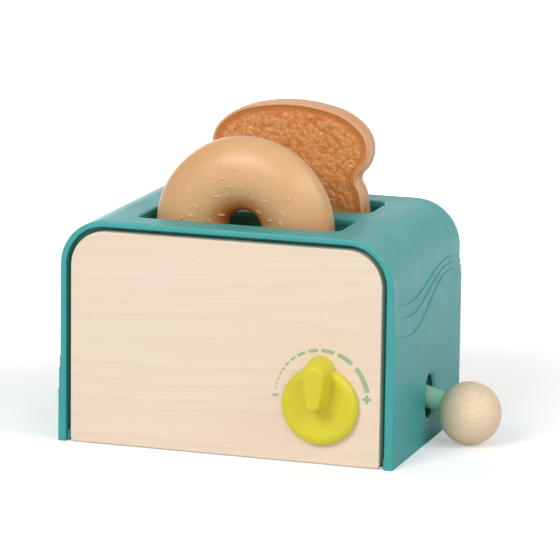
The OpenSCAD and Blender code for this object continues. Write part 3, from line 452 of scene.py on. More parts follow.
def fromNode(name, node, material, body, slotName, edge):
    # the CAD node's own shape, merged, with its flat faces made whole and its edges a little worn
    piece = linked(name, cadNodes[node].data.copy())
    work = bmesh.new()
    work.from_mesh(piece.data)
    bmesh.ops.remove_doubles(work, verts=work.verts, dist=0.002 * mm)
    bmesh.ops.dissolve_limit(work, angle_limit=math.radians(0.4), verts=work.verts, edges=work.edges)
    work.to_mesh(piece.data)
    work.free()
    piece.data.materials.clear()
    piece.data.materials.append(material)
    if edge:
        bevel = piece.modifiers.new("edge", "BEVEL")
        bevel.width, bevel.segments, bevel.angle_limit = edge * mm, 2, math.radians(50)
        bevel.use_clamp_overlap = True
    weighted(piece)
    return carried(piece, body, slotName, node)


# Shell: an arch swept from one foot to the other, with soft wave layers on both sides

shellFacts = {
    "halfWidth": 100, "halfDepth": 70, "height": 132, "corner": 27, "wall": 3.3, "lip": 1.2,
    "innerEdge": 0.35, "layer": 0.47,
    "swell": 0.3,                     # how much fuller the upright sides are
    # each wave edge: height from its line, share of the step, depth of the fine groove above it
    "stepShape": [(-0.9, 1, 0), (-0.24, 1, 0), (-0.08, 0.9, 0), (0, 0.55, 0), (0.06, 0, 0.14),
                  (0.4, 0, 0.22), (0.62, 0, 0.1), (0.85, 0, 0)],
    "grooveFade": (66, 50),           # depths between which a groove grows
    "troughY": -33, "crestY": 38, "frontRise": 6, "backFall": 5.5,
    "crests": (102.8, 98.9, 95), "rightTroughs": (90.8, 83.3, 72.2), "leftTroughs": (45, 38, 25),
    "flangeWidth": 12, "flange": (59, 62), "flangeFoot": 3.3,
    "slotLength": 122, "slotWidth": 40, "slotY": 30.5, "slotRadius": 7, "rim": 1.5,
    "leverY": 6, "leverZ": 27.1, "leverWidth": 16.5, "leverHeight": 25.8, "leverRim": 2.2,
    "leverRimDepth": 1.1, "leverRelief": 2,
    "overlap": 0.4,                   # how far an added part runs into the wall
    # radius, then lower and upper end; the first two columns run up into the roof
    "earColumn": (4, 120.7), "postColumn": (5, 116.9), "footColumn": (4.4, 7, 24), "footRib": 2,
    "earHole": (117.7, 127.7), "postHole": (3.02, 115.9, 125.4), "footHole": (6, 19),
    "nub": (1.55, 65, 2, 6),          # reach, depth, half width, height
    "columns": 64, "cornerSteps": 18}
innerW = shellFacts["halfWidth"] - shellFacts["wall"]
innerH = shellFacts["height"] - shellFacts["wall"]


def waveHeight(y, trough, crest):
    f = shellFacts
    if y < f["troughY"]:
        return trough + f["frontRise"] * ((f["troughY"] - y) / (f["troughY"] + f["halfDepth"])) ** 2
    if y > f["crestY"]:
        return crest - f["backFall"] * ((y - f["crestY"]) / (f["halfDepth"] - f["crestY"])) ** 2
    turn = math.pi * (y - f["troughY"]) / (f["crestY"] - f["troughY"])
    return (trough + crest) / 2 - (crest - trough) / 2 * math.cos(turn)


def sideRows(y, troughs):
    # (height, added thickness) pairs up one side at one depth; rows follow the wave lines
    f = shellFacts
    top = f["height"] - f["corner"]
    rows, height = [(0, 3 * f["layer"])], 0
    for layers, trough, crest, gaps in zip((3, 2, 1), troughs[::-1], f["crests"][::-1], (6, 2, 2)):
        line = waveHeight(y, trough, crest)
        slope = waveHeight(y + 0.5, trough, crest) - waveHeight(y - 0.5, trough, crest)
        steep = min(math.hypot(1, slope), 1.6)
        low = line + f["stepShape"][0][0] * steep
        rows += [(height + (low - height) * i / gaps, layers * f["layer"]) for i in range(1, gaps)]
        cut = min(1, max(0, (f["grooveFade"][0] - abs(y)) / (f["grooveFade"][0] - f["grooveFade"][1])))
        rows += [(line + rise * steep, (layers - 1 + share) * f["layer"] - groove * cut)
                 for rise, share, groove in f["stepShape"]]
        height = rows[-1][0]
    return rows + [((height + top) / 2, 0)]


def wallLoop():
    # once round the wall's section: (depth, fixed part, share of the thickness) of how far out it lies
    f = shellFacts
    lip, half, edge = f["lip"], f["halfDepth"], f["innerEdge"]
    flat = half - lip
    loop = [(-flat + 2 * flat * i / f["columns"], 0, 1) for i in range(f["columns"] + 1)]
    back = [(flat + lip * math.sin(a), lip * (math.cos(a) - 1), 1)
            for a in angles(15, 1, 6)]
    back += [(half, edge, 0), (half - edge * 0.3, edge * 0.3, 0), (half - edge, 0, 0)]
    return loop + back + [(-y, fixed, share) for y, fixed, share in back[::-1]]


def bendPoint(side, angle, y, out):
    # a point on one upper corner of the arch
    f = shellFacts
    turn = math.radians(angle)
    radius = f["corner"] - f["wall"] + out
    return (side * (f["halfWidth"] - f["corner"] + radius * math.cos(turn)), y,
            f["height"] - f["corner"] + radius * math.sin(turn))


def arch(loop, foot):
    # a section swept up the right side, over the top and down the left side; a foot above the
    # table leaves the waves out
    f = shellFacts
    right, left = [], []
    for rows, troughs, side in ((right, f["rightTroughs"], 1), (left, f["leftTroughs"], -1)):
        columns = []
        for y, fixed, share in loop:
            up = [(foot, 0)] if foot else sideRows(max(-f["halfDepth"], min(f["halfDepth"], y)), troughs)
            columns.append([(side * (innerW + fixed + share * (f["wall"] + f["swell"] + extra)), y, z)
                            for z, extra in up])
        rows += [list(ring) for ring in zip(*columns)]
    bends = [(1, 90 * i / f["cornerSteps"]) for i in range(f["cornerSteps"] + 1)]
    bends += [(-1, angle) for _, angle in bends[::-1]]
    middle = []
    for side, angle in bends:
        wall = f["wall"] + f["swell"] * math.cos(math.radians(angle)) ** 2
        middle.append([bendPoint(side, angle, y, fixed + share * wall) for y, fixed, share in loop])
    return skin(right + middle + left[::-1], True)


def slotCutter(y):
    # a rounded rectangle that flares at the top by the rim's own round
    f = shellFacts
    steps = [(innerH - 1, 0), (f["height"] - f["rim"], 0)]
    steps += [(f["height"] - f["rim"] + f["rim"] * math.sin(a), f["rim"] * (1 - math.cos(a)))
              for a in angles(15, 1, 5)]
    steps += [(f["height"] - 0.004, f["rim"]), (f["height"] + 1, f["rim"])]
    outline = roundRect(-f["slotLength"] / 2, f["slotLength"] / 2, y - f["slotWidth"] / 2,
                        y + f["slotWidth"] / 2, f["slotRadius"], f["slotRadius"], 8)
    return skin([[(a, b, z) for a, b in inset(outline, -grow)] for z, grow in steps], True)


def leverSlotCutter():
    f = shellFacts
    face = innerW + f["wall"] + f["swell"] + 3 * f["layer"]
    straight = (f["leverHeight"] - f["leverWidth"]) / 2
    y, z, radius = f["leverY"], f["leverZ"], f["leverWidth"] / 2
    outline = arc((y, z + straight), radius, 0, 180, 20) + arc((y, z - straight), radius, 180, 360, 20)
    # the wall is relieved from the inside, so that only a thin edge shows round the opening
    rim, deep = f["leverRim"], f["leverRimDepth"]
    steps = [(innerW - 1, f["leverRelief"]), (face - deep - 1, f["leverRelief"]), (face - deep - 0.4, 0),
             (face - deep, 0.1), (face - deep * 0.25, rim - 0.6), (face, rim + 0.1), (face + 1, rim + 0.1)]
    return skin([[(x, a, b) for a, b in inset(outline, -grow)] for x, grow in steps], True)


screwFacts = {
    "shank": 1.4, "headRadius": 3, "headHeight": 2, "chamfer": 0.7, "cross": (2.8, 0.7, 0.9),
    "flangePlaces": [(s * x, z) for x, z in ((90.7, 30), (90.7, 85), (45, 122.7)) for s in (-1, 1)],
    "earPlaces": [(s * 68.5, t * 30.5) for s in (-1, 1) for t in (-1, 1)],
    "footPlaces": [(s * 89, t * 50) for s in (-1, 1) for t in (-1, 1)],
    "bracketPlaces": [(6 + s * 17, 29.35 + t * 11) for s in (-1, 1) for t in (-1, 1)],
    "postPlaces": [(-45, -3.5), (45, -3.5)]}


def standing(places, ends, radius, steps=16):
    # upright rods between two heights
    return [rod((x, y, ends[0]), (x, y, ends[1]), radius, steps) for x, y in places]


def makeShell():
    f, s = shellFacts, screwFacts
    over, shank = f["overlap"], s["shank"]
    piece = makePiece("shellMoulding", arch(wallLoop(), 0), teal)
    inside = []
    for low, high in (f["flange"], [-d for d in f["flange"]][::-1]):
        section = [(y, out, 0) for y, out in ((low, over), (high, over), (high, -f["flangeWidth"]),
                                              (low, -f["flangeWidth"]))]
        inside.append(arch(section, f["flangeFoot"]))
    for places, (radius, low), steps in ((s["earPlaces"], f["earColumn"], 24),
                                         (s["postPlaces"], f["postColumn"], 32)):
        inside += standing(places, (low, innerH + over), radius, steps)
    radius, low, high = f["footColumn"]
    reach, depth, half, top = f["nub"]
    for x, y in s["footPlaces"]:
        side, nubY = math.copysign(1, x), math.copysign(depth, y)
        inside += standing([(x, y)], (low, high), radius, 24)
        ends = sorted((x, side * (innerW + over)))
        inside.append(block((ends[0], y - f["footRib"], low), (ends[1], y + f["footRib"], high)))
        ends = sorted((side * (innerW - reach), side * (innerW + over)))
        inside.append(block((ends[0], nubY - half, 0), (ends[1], nubY + half, top)))
    combine(piece, joined(*inside), "UNION")
    holes = [slotCutter(-f["slotY"]), slotCutter(f["slotY"]), leverSlotCutter()]
    holes += standing(s["postPlaces"], f["postHole"][1:], f["postHole"][0], 32)
    holes += standing(s["earPlaces"], f["earHole"], shank) + standing(s["footPlaces"], f["footHole"], shank)
    low, high = f["flange"]
    holes += [rod((x, t * (low - 1), z), (x, t * (high + 1), z), shank + 0.2, 16)
              for x, z in s["flangePlaces"] for t in (-1, 1)]
    holes += [rod((innerW - 1, y, z), (innerW + f["wall"], y, z), shank, 16)
              for y, z in s["bracketPlaces"]]
    combine(piece, joined(*holes), "DIFFERENCE")
    weighted(piece, 34)
    return carried(piece, "housing", "teal_plastic", "shell")


makeShell()


# Wooden front and back, slabs with sanded edges

dialAxis = (58.7, 39)
panelFacts = {"halfWidth": 93.7, "top": 125.7, "foot": 0.6, "topRadius": 20.7, "footRadius": 2.2,
              "front": 70, "back": 62, "edge": 0.6, "bite": 6, "dialHole": 7.06}


def makePanel(name, side, node):
    # side is -1 for the front and 1 for the back
    f = panelFacts
    outline = roundRect(-f["halfWidth"], f["halfWidth"], f["foot"], f["top"], f["topRadius"],
                        f["footRadius"], 18)
    edge = [(f["edge"] * (1 - math.sin(a)), f["edge"] * (1 - math.cos(a)))
            for a in angles(18, 0, 5)]
    steps = [(inward, f["front"] - deep) for inward, deep in edge]
    steps += [(inward, f["back"] + deep) for inward, deep in edge[::-1]]
    piece = makePiece(name, skin([facing(inset(outline, d), side * y) for d, y in steps], True), veneer)
    holes = [rod((x, side * (f["back"] - 1), z), (x, side * (f["back"] + f["bite"]), z),
                 screwFacts["shank"], 16) for x, z in screwFacts["flangePlaces"]]
    if side < 0:
        x, z = dialAxis
        holes.append(rod((x, -f["front"] - 1, z), (x, -f["back"] + 1, z), f["dialHole"], 48))
    combine(piece, joined(*holes), "DIFFERENCE")
    weighted(piece, 40)
    return carried(piece, "housing", "plywood", node)


makePanel("frontPanelWood", -1, "front_panel")
makePanel("rearPanelWood", 1, "rear_panel")


# Printed scale round the dial: Geometry Nodes lay one growing dash at each point

scaleFacts = {
    "centre": (59, 39.3), "radius": 27.5, "face": -70, "thickness": 0.07,
    "thin": 0.8, "growth": 0.0146, "firstAngle": 172,     # line width, and what a degree adds to it
    # first and last angle of each dash, counter-clockwise from the right
    "dashes": [(173.1, 170.6), (168, 165), (162.2, 158.7), (156, 151.9), (149.5, 144.7), (141.6, 135.8),
               (132.6, 125.1), (122.2, 111.6), (106.8, 94.9), (90.8, 74.9), (70, 49.8), (42.8, 10.6)],
    "minusAt": -27.6, "minusDrop": -0.55, "minusSize": (3.7, 1.5), "plusAt": 26.9, "plusDrop": 1.2,
    "plusSize": (5.2, 1.7)}


def geometryTree(name, **sockets):
    # an empty tree; each kind of socket comes with the names of its inputs
    tree = bpy.data.node_groups.new(name, "GeometryNodeTree")
    tree.interface.new_socket("Geometry", in_out="INPUT", socket_type="NodeSocketGeometry")
    for kind, labels in sockets.items():
        for label in labels.split(", "):
            tree.interface.new_socket(label, in_out="INPUT", socket_type="NodeSocket" + kind)
    tree.interface.new_socket("Geometry", in_out="OUTPUT", socket_type="NodeSocketGeometry")
    return tree, tree.nodes.new("NodeGroupInput").outputs


def grown(piece, tree, lengths, values):
    # the tree's result as the piece's own mesh; inputs are set by each socket's identifier
    for label, size in lengths.items():
        values[label] = [c * mm for c in size] if isinstance(size, tuple) else size * mm
    change = piece.modifiers.new("grow", "NODES")
    change.node_group = tree
    for item in tree.interface.items_tree:
        if item.in_out == "INPUT" and item.name in values:
            change[item.identifier] = values[item.name]
    return plain(piece)


def finishTree(tree, geometry, material):
    real = add(tree, "GeometryNodeRealizeInstances", {0: geometry})
    made = add(tree, "GeometryNodeSetMaterial", {0: real, "Material": material})
    add(tree, "NodeGroupOutput", {0: made})


def pointCloud(name, places, **values):
    # loose points in millimetres, with named numbers on them
    mesh = bpy.data.meshes.new(name)
    mesh.from_pydata([[c * mm for c in p] for p in places], [], [])
    for label, numbers in values.items():
        mesh.attributes.new(label, "FLOAT", "POINT").data.foreach_set("value", numbers)
    return linked(name, mesh)


def dashTree():
    tree, given = geometryTree(
        "growingDashes", Float="Radius, Thin, Growth, First Angle, Depth, Centre X, Centre Z, Face",
        Material="Material")
    strip = add(tree, "GeometryNodeMeshGrid", {"Size X": 1, "Size Y": 1, "Vertices X": 15, "Vertices Y": 2})
    corner = add(tree, "ShaderNodeSeparateXYZ", {0: add(tree, "GeometryNodeInputPosition")})
    for label, value in (("along", corner.outputs[0]), ("across", corner.outputs[1])):
        strip = add(tree, "GeometryNodeStoreNamedAttribute", {0: strip, "Name": label, "Value": value},
                    data_type="FLOAT", domain="POINT")
    flat = add(tree, "GeometryNodeInstanceOnPoints", {"Points": given["Geometry"], "Instance": strip})
    # realized before it is bent, so that every corner of a dash knows its own angle
    real = add(tree, "GeometryNodeRealizeInstances", {0: flat})
    along, across, sweep, middle = [
        add(tree, "GeometryNodeInputNamedAttribute", {"Name": label}, data_type="FLOAT")
        for label in ("along", "across", "sweep", "angle")]
    angle = add(tree, "ShaderNodeMath", (along, sweep, middle), operation="MULTIPLY_ADD")
    past = add(tree, "ShaderNodeMath", (given["First Angle"], angle), operation="SUBTRACT")
    wide = add(tree, "ShaderNodeMath", (past, given["Growth"], given["Thin"]), operation="MULTIPLY_ADD")
    reach = add(tree, "ShaderNodeMath", (across, wide, given["Radius"]), operation="MULTIPLY_ADD")
    turn = add(tree, "ShaderNodeMath", (angle,), operation="RADIANS")
    spot = add(tree, "ShaderNodeCombineXYZ", {1: given["Face"]})
    for axis, wave, centre in ((0, "COSINE", "Centre X"), (2, "SINE", "Centre Z")):
        share = add(tree, "ShaderNodeMath", (turn,), operation=wave)
        plug(add(tree, "ShaderNodeMath", (share, reach, given[centre]), operation="MULTIPLY_ADD"),
             spot, axis)
    bent = add(tree, "GeometryNodeSetPosition", {0: real, "Position": spot})
    forward = add(tree, "ShaderNodeCombineXYZ", {1: -1})
    raised = add(tree, "GeometryNodeExtrudeMesh", {0: bent, "Offset": forward, "Individual": False,
                                                   "Offset Scale": given["Depth"]}, mode="FACES")
    both = add(tree, "GeometryNodeJoinGeometry", {0: raised})
    plug(add(tree, "GeometryNodeFlipFaces", {0: bent}), both, 0)
    closed = add(tree, "GeometryNodeMergeByDistance", {0: both, "Distance": 0.002 * mm})
    finishTree(tree, closed, given["Material"])
    return tree


def makeScale():
    f = scaleFacts
    spans = [(first - last, (first + last) / 2) for first, last in f["dashes"]]
    piece = pointCloud("dialScalePrint", [(0, 0, 0)] * len(spans), angle=[middle for _, middle in spans],
                       sweep=[span for span, _ in spans])
    x, z = f["centre"]
    grown(piece, dashTree(),
          {"Radius": f["radius"], "Thin": f["thin"], "Growth": f["growth"], "Depth": f["thickness"],
           "Centre X": x, "Centre Z": z, "Face": f["face"]},
          {"First Angle": f["firstAngle"], "Material": ink})
    front, back = f["face"] - f["thickness"], f["face"]
    marks = []
    for at, drop, (long, thick), upright in ((f["minusAt"], f["minusDrop"], f["minusSize"], False),
                                             (f["plusAt"], f["plusDrop"], f["plusSize"], True)):
        half, thin = long / 2, thick / 2
        outline = [(-half, -thin), (half, -thin), (half, thin), (-half, thin)]
        if upright:
            outline = [(-half, -thin), (-thin, -thin), (-thin, -half), (thin, -half), (thin, -thin),
                       (half, -thin), (half, thin), (thin, thin), (thin, half), (-thin, half),
                       (-thin, thin), (-half, thin)]
        marks.append(skin([facing([(x + at + a, z + drop + b) for a, b in outline], d)
                           for d in (back, front)], True))
    extra = makePiece("signs", joined(*marks), ink)
    work = bmesh.new()
    work.from_mesh(piece.data)
    work.from_mesh(extra.data)
    bmesh.ops.recalc_face_normals(work, faces=work.faces)
    for face in work.faces:
        face.material_index, face.smooth = 0, False
    work.to_mesh(piece.data)
    work.free()
    piece.data.materials.clear()
    piece.data.materials.append(ink)
    bpy.data.objects.remove(extra)
    return carried(piece, "housing", None)


makeScale()


# Dial knob: disc and grip fused, remeshed fine and smoothed, so that moulded fillets form

knobFacts = {
    "drop": 4.2, "face": -70.3, "spindleEnd": -60.2, "spindleRadius": 5,
    # radius and height of the disc's outline, with a soft ridge round a slightly hollow face
    "disc": [(0, 0), (22.3, 0), (22.7, 0.5), (22.7, 1.9), (22.4, 3), (21.7, 4), (20.6, 4.75),
             (19.2, 5.15), (17.8, 5.2), (16, 4.95), (13.5, 4.6), (10, 4.35), (0, 4.3)],
    # depth in front of the disc's back, then middle and radius of the tip, and of the foot
    "grip": [(0, 17, 7.8, -0.6, 5.2), (5.2, 17, 7.8, -0.6, 5.2), (11, 16.2, 7.35, -0.2, 5),
             (15.4, 15.5, 6.95, 0.1, 4.75), (16.6, 15.4, 6.6, 0.2, 4.5), (17.3, 15.3, 6, 0.3, 3.95),
             (17.7, 15.3, 5.1, 0.4, 3.1)],
    "voxel": 0.38, "smoothing": 9}


def taperedOutline(tip, tipRadius, foot, footRadius, steps=20):
    lean = math.degrees(math.asin((tipRadius - footRadius) / (tip - foot)))
    return (arc((0, tip), tipRadius, -lean, 180 + lean, steps)
            + arc((0, foot), footRadius, 180 + lean, 360 - lean, steps))


def makeKnob():
    f = knobFacts
    x, z = dialAxis
    toFront = Matrix.Rotation(math.radians(90), 4, "X")   # a lathe's height becomes depth to the front
    piece = makePiece("dialKnob", moved(lathe(f["disc"], 128),
                                        Matrix.Translation((x, f["face"], z - f["drop"])) @ toFront), lime)
    rings = []
    for deep, tip, tipRadius, foot, footRadius in f["grip"]:
        outline = taperedOutline(tip, tipRadius, foot, footRadius)
        rings.append([(x + a, f["face"] - deep, z + b) for a, b in outline])
    combine(piece, skin(rings, True), "UNION")
    combine(piece, rod((x, f["face"] - 1, z), (x, f["spindleEnd"], z), f["spindleRadius"], 48), "UNION")
    remesh = piece.modifiers.new("remesh", "REMESH")
    remesh.mode, remesh.voxel_size, remesh.use_smooth_shade = "VOXEL", f["voxel"] * mm, True
    smooth = piece.modifiers.new("smooth", "SMOOTH")
    smooth.factor, smooth.iterations = 0.5, f["smoothing"]
    plain(piece)
    piece.data.materials.clear()
    piece.data.materials.append(lime)
    return carried(piece, "dial", "dial_plastic", "dial_knob")


makeKnob()


# Screws: Geometry Nodes build one cross-head screw and stand it at each point

def screwTree():
    tree, given = geometryTree(
        "crossHeadScrews", Vector="Turn", Material="Material",
        Float="Head Radius, Head Height, Head Edge, Shank Radius, Shank Length, Cross Length, "
              "Cross Width, Cross Depth")
    edge, height = given["Head Edge"], given["Head Height"]
    straight = add(tree, "ShaderNodeMath", (height, edge), operation="SUBTRACT")
    inner = add(tree, "ShaderNodeMath", (given["Head Radius"], edge), operation="SUBTRACT")
    head = add(tree, "GeometryNodeMeshCylinder",
               {"Vertices": 28, "Radius": given["Head Radius"], "Depth": straight}, fill_type="NGON")
    rim = add(tree, "GeometryNodeMeshCone",
              {"Vertices": 28, "Radius Top": given["Head Radius"], "Radius Bottom": inner, "Depth": edge})
    shank = add(tree, "GeometryNodeMeshCylinder",
                {"Vertices": 16, "Radius": given["Shank Radius"], "Depth": given["Shank Length"]})
    deep = add(tree, "ShaderNodeMath", (given["Cross Depth"], 2), operation="MULTIPLY")
    bar = add(tree, "GeometryNodeMeshCube", {"Size": add(
        tree, "ShaderNodeCombineXYZ", (given["Cross Length"], given["Cross Width"], deep))})
    other = add(tree, "GeometryNodeTransform", {0: bar, "Rotation": (0, 0, math.pi / 2)})
    whole = add(tree, "GeometryNodeMeshBoolean", operation="UNION", solver="EXACT")
    cut = add(tree, "GeometryNodeMeshBoolean", {0: whole}, operation="DIFFERENCE", solver="EXACT")
    # what each part joins or cuts, and its height as a share of a length
    for part, target, length, share in (
            (head, whole, straight, -0.5), (rim, whole, height, -1),
            (shank, whole, given["Shank Length"], 0.499), (bar, cut, height, -1), (other, cut, height, -1)):
        rise = add(tree, "ShaderNodeMath", (length, share), operation="MULTIPLY")
        up = add(tree, "ShaderNodeCombineXYZ", {2: rise})
        plug(add(tree, "GeometryNodeTransform", {0: part, "Translation": up}), target, "Mesh 2")
    turn = add(tree, "FunctionNodeEulerToRotation", {0: given["Turn"]})
    stood = add(tree, "GeometryNodeInstanceOnPoints",
                {"Points": given["Geometry"], "Instance": cut, "Rotation": turn})
    finishTree(tree, stood, given["Material"])
    return tree


def makeScrews(name, places, turn, length, body, node, tree):
    f = screwFacts
    piece = pointCloud(name, places)
    long, wide, deep = f["cross"]
    grown(piece, tree,
          {"Head Radius": f["headRadius"], "Head Height": f["headHeight"], "Head Edge": f["chamfer"],
           "Shank Radius": f["shank"], "Shank Length": length, "Cross Length": long,
           "Cross Width": wide, "Cross Depth": deep},
          {"Turn": [math.radians(a) for a in turn], "Material": steel})
    smoothed(piece, 32)
    return carried(piece, body, "steel", node)


screws = screwTree()
flangeFace = shellFacts["flange"][0]
panelPlaces = [[(x, side * flangeFace, z) for x, z in screwFacts["flangePlaces"]] for side in (-1, 1)]
# name, node, middles of the heads' undersides, turn, length of the shank, body
for name, node, places, turn, length, body in (
        ("frontPanelScrews", "front_panel_screws", panelPlaces[0], (90, 0, 0), 8, "housing"),
        ("rearPanelScrews", "rear_panel_screws", panelPlaces[1], (-90, 0, 0), 8, "housing"),
        ("wellScrews", "well_screws",
         [(x, y, shellFacts["earHole"][0]) for x, y in screwFacts["earPlaces"]], (0, 0, 0), 9, "housing"),
        ("bracketScrews", "bracket_screws", [(innerW - 3, y, z) for y, z in screwFacts["bracketPlaces"]],
         (0, 90, 0), 5.8, "housing"),
        ("baseScrews", "base_screws", [(x, y, 4) for x, y in screwFacts["footPlaces"]],
         (0, 0, 0), 12, "housing"),
        ("dialScrew", "dial_screw", [(dialAxis[0], -flangeFace, dialAxis[1])], (90, 0, 0), 9, "dial")):
    makeScrews(name, places, turn, length, body, node, screws)


# Lever: a moulded rod with a turned ball on its end

leverFacts = {"pivot": (83.5, 6, 31.6), "slope": 16.5}
ballFacts = {"radius": 18.5, "reach": 44.3, "spigotRadius": 4.02, "spigotEnd": 15.5, "rodRadius": 6.3,
             "middle": (126, 6, 19), "ringSpacing": 2, "grainTurn": (-35.6, -10.7, -14.6), "steps": 96}
beech = turnedBeech(ballFacts)


def makeBall():
    f = ballFacts
    flat = math.sqrt(f["radius"] ** 2 - f["rodRadius"] ** 2)
    bottom = math.degrees(math.asin(flat / f["radius"]))
    turns = [math.radians(90 - (90 + bottom) * i / 60) for i in range(61)]
    profile = [(f["radius"] * math.cos(a) if i else 0, f["radius"] * math.sin(a))
               for i, a in enumerate(turns)]
    end = f["spigotEnd"] - flat
    profile += [(f["spigotRadius"], -flat), (f["spigotRadius"], end), (0, end)]
    place = (Matrix.Translation(leverFacts["pivot"])
             @ Matrix.Rotation(math.radians(leverFacts["slope"]), 4, "Y")
             @ Matrix.Translation((f["reach"], 0, 0)) @ Matrix.Rotation(math.radians(90), 4, "Y"))
    piece = makePiece("leverBallWood", moved(lathe(profile, f["steps"]), place), beech, 40)
    return carried(piece, "lever", "turned_wood", "lever_ball")


makeBall()
for name, node, material, body, slotName, edge in (
        ("leverArmMoulding", "lever_arm", mint, "lever", "mint_plastic", 0.3),
        ("followerPin", "follower_pin", steel, "lever", "steel", 0.3),
        ("pivotPin", "pivot_pin", steel, "housing", "steel", 0.3),
        ("pinClip", "pin_clip", steel, "housing", "steel", 0.15),
        ("dialBush", "dial_bush", white, "housing", "bush_plastic", 0.2),
        ("dialWasher", "dial_washer", steel, "dial", "steel", 0.15),
        ("pivotBracketMoulding", "pivot_bracket", bracketPaintedShade, "housing", "inner_plastic", 0.3),
        ("guidePosts", "guide_posts", steel, "housing", "steel", 0),
        ("frontWellMoulding", "front_well", tealPaintedShade, "housing", "inner_plastic", 0.3),
        ("rearWellMoulding", "rear_well", tealPaintedShade, "housing", "inner_plastic", 0.3),
        ("basePlateMoulding", "base_plate", tealPaintedShade, "housing", "inner_plastic", 0.3),
        ("breadCarrierMoulding", "bread_carrier", tealPaintedShade, "carrier", "inner_plastic", 0.3)):
    fromNode(name, node, material, body, slotName, edge)


# Bagel: two hollow halves, and moulded sesame grains that Geometry Nodes scatter on them

bagelFacts = {"middle": (-1, -30.5, 126.25), "ring": 32.25, "endX": 10.5, "endRadius": 11,
              "faceRadius": 26.78, "faceDrop": 11.78, "meet": 48.3, "wall": 2.2, "groove": 0.25,
              "steps": 144, "grainFrom": 13.5, "grainTo": 40, "grainDepth": 6, "spacing": 6,
              "grainSize": (2.5, 0.72, 0.46), "sink": 0.02, "seeds": (11, 5),
              "holeShadeFrom": 12, "holeShadeTo": 22}
bagelTan = bagelVinyl(bagelFacts)


def ovalHalf(grow):
    f = bagelFacts
    right = arc((f["endX"], 0), f["endRadius"] + grow, 0, f["meet"], 8)
    over = arc((0, -f["faceDrop"]), f["faceRadius"] + grow, f["meet"], 180 - f["meet"], 18)
    left = arc((-f["endX"], 0), f["endRadius"] + grow, 180 - f["meet"], 180, 8)
    return right + over[1:-1] + left


def grainTree():
    tree, given = geometryTree("sesameGrains", Vector="Middle, Half Size", Int="Seed", Material="Material",
                               Float="Inner Radius, Outer Radius, Depth, Spacing, Sink")
    here = add(tree, "ShaderNodeVectorMath", (add(tree, "GeometryNodeInputPosition"), given["Middle"]),
               operation="SUBTRACT")
    flat = add(tree, "ShaderNodeVectorMath", (here, (1, 0, 1)), operation="MULTIPLY")
    radius = add(tree, "ShaderNodeVectorMath", (flat,), operation="LENGTH")
    across = add(tree, "ShaderNodeSeparateXYZ", (here,)).outputs[1]
    deep = add(tree, "ShaderNodeMath", (across,), operation="ABSOLUTE")
    inRange = 1
    for measure, test, limit in ((radius, "GREATER_THAN", "Inner Radius"),
                                 (radius, "LESS_THAN", "Outer Radius"), (deep, "GREATER_THAN", "Depth")):
        passed = add(tree, "ShaderNodeMath", (measure, given[limit]), operation=test)
        inRange = add(tree, "ShaderNodeMath", (inRange, passed), operation="MULTIPLY")
    points = add(tree, "GeometryNodeDistributePointsOnFaces",
                 {0: given["Geometry"], "Distance Min": given["Spacing"], "Density Max": 60000,
                  "Density Factor": inRange, "Seed": given["Seed"]}, distribute_method="POISSON")
    angle = add(tree, "FunctionNodeRandomValue", {2: 0.0, 3: math.tau, "Seed": given["Seed"]},
                data_type="FLOAT")
    spin = add(tree, "FunctionNodeAxisAngleToRotation", {"Axis": (0, 0, 1), "Angle": angle})
    turn = add(tree, "FunctionNodeRotateRotation",
               {0: points.outputs["Rotation"], 1: spin}, rotation_space="LOCAL")
    ball = add(tree, "GeometryNodeMeshUVSphere", {"Segments": 10, "Rings": 7, "Radius": 1})
    squeezed = add(tree, "GeometryNodeTransform", {0: ball, "Scale": given["Half Size"],
                   "Translation": add(tree, "ShaderNodeCombineXYZ", {2: given["Sink"]})})
    size = add(tree, "FunctionNodeRandomValue", {2: 0.8, 3: 1.1, "Seed": 3}, data_type="FLOAT")
    laid = add(tree, "GeometryNodeInstanceOnPoints", {"Points": points, "Instance": squeezed,
                                                      "Rotation": turn, "Scale": size})
    smooth = add(tree, "GeometryNodeSetShadeSmooth",
                 {0: add(tree, "GeometryNodeRealizeInstances", {0: laid})})
    finishTree(tree, smooth, given["Material"])
    return tree


def makeBagelHalf(name, side, node, tree):
    # side is -1 for the front half and 1 for the back half
    f = bagelFacts
    outer, inner = ovalHalf(0), ovalHalf(-f["wall"])
    for end, way in ((0, 1), (-1, -1)):
        outer[end] = (outer[end][0] - way * f["groove"], 0)
    x, y, z = f["middle"]
    rings = []
    for i in range(f["steps"] + 1):
        turn = math.tau * i / f["steps"]
        rings.append([(x + (f["ring"] + u) * math.cos(turn), y + side * v,
                       z + (f["ring"] + u) * math.sin(turn)) for u, v in outer + inner[::-1]])
    piece = makePiece(name, skin(rings), bagelTan, 50)
    grains = linked(name + "Sesame", piece.data.copy())
    grown(grains, tree,
          {"Middle": f["middle"], "Inner Radius": f["grainFrom"], "Outer Radius": f["grainTo"],
           "Depth": f["grainDepth"], "Spacing": f["spacing"], "Half Size": f["grainSize"],
           "Sink": f["sink"]},
          {"Seed": f["seeds"][side > 0], "Material": sesameTan})
    carried(piece, "bagel", "bagel_plastic", node)
    carried(grains, "bagel", "bagel_plastic")


sesame = grainTree()
makeBagelHalf("bagelFrontHalf", -1, "bagel_front", sesame)
makeBagelHalf("bagelBackHalf", 1, "bagel_back", sesame)


# Toast: two halves with a round crust and a lumpy crumb cast from real bread

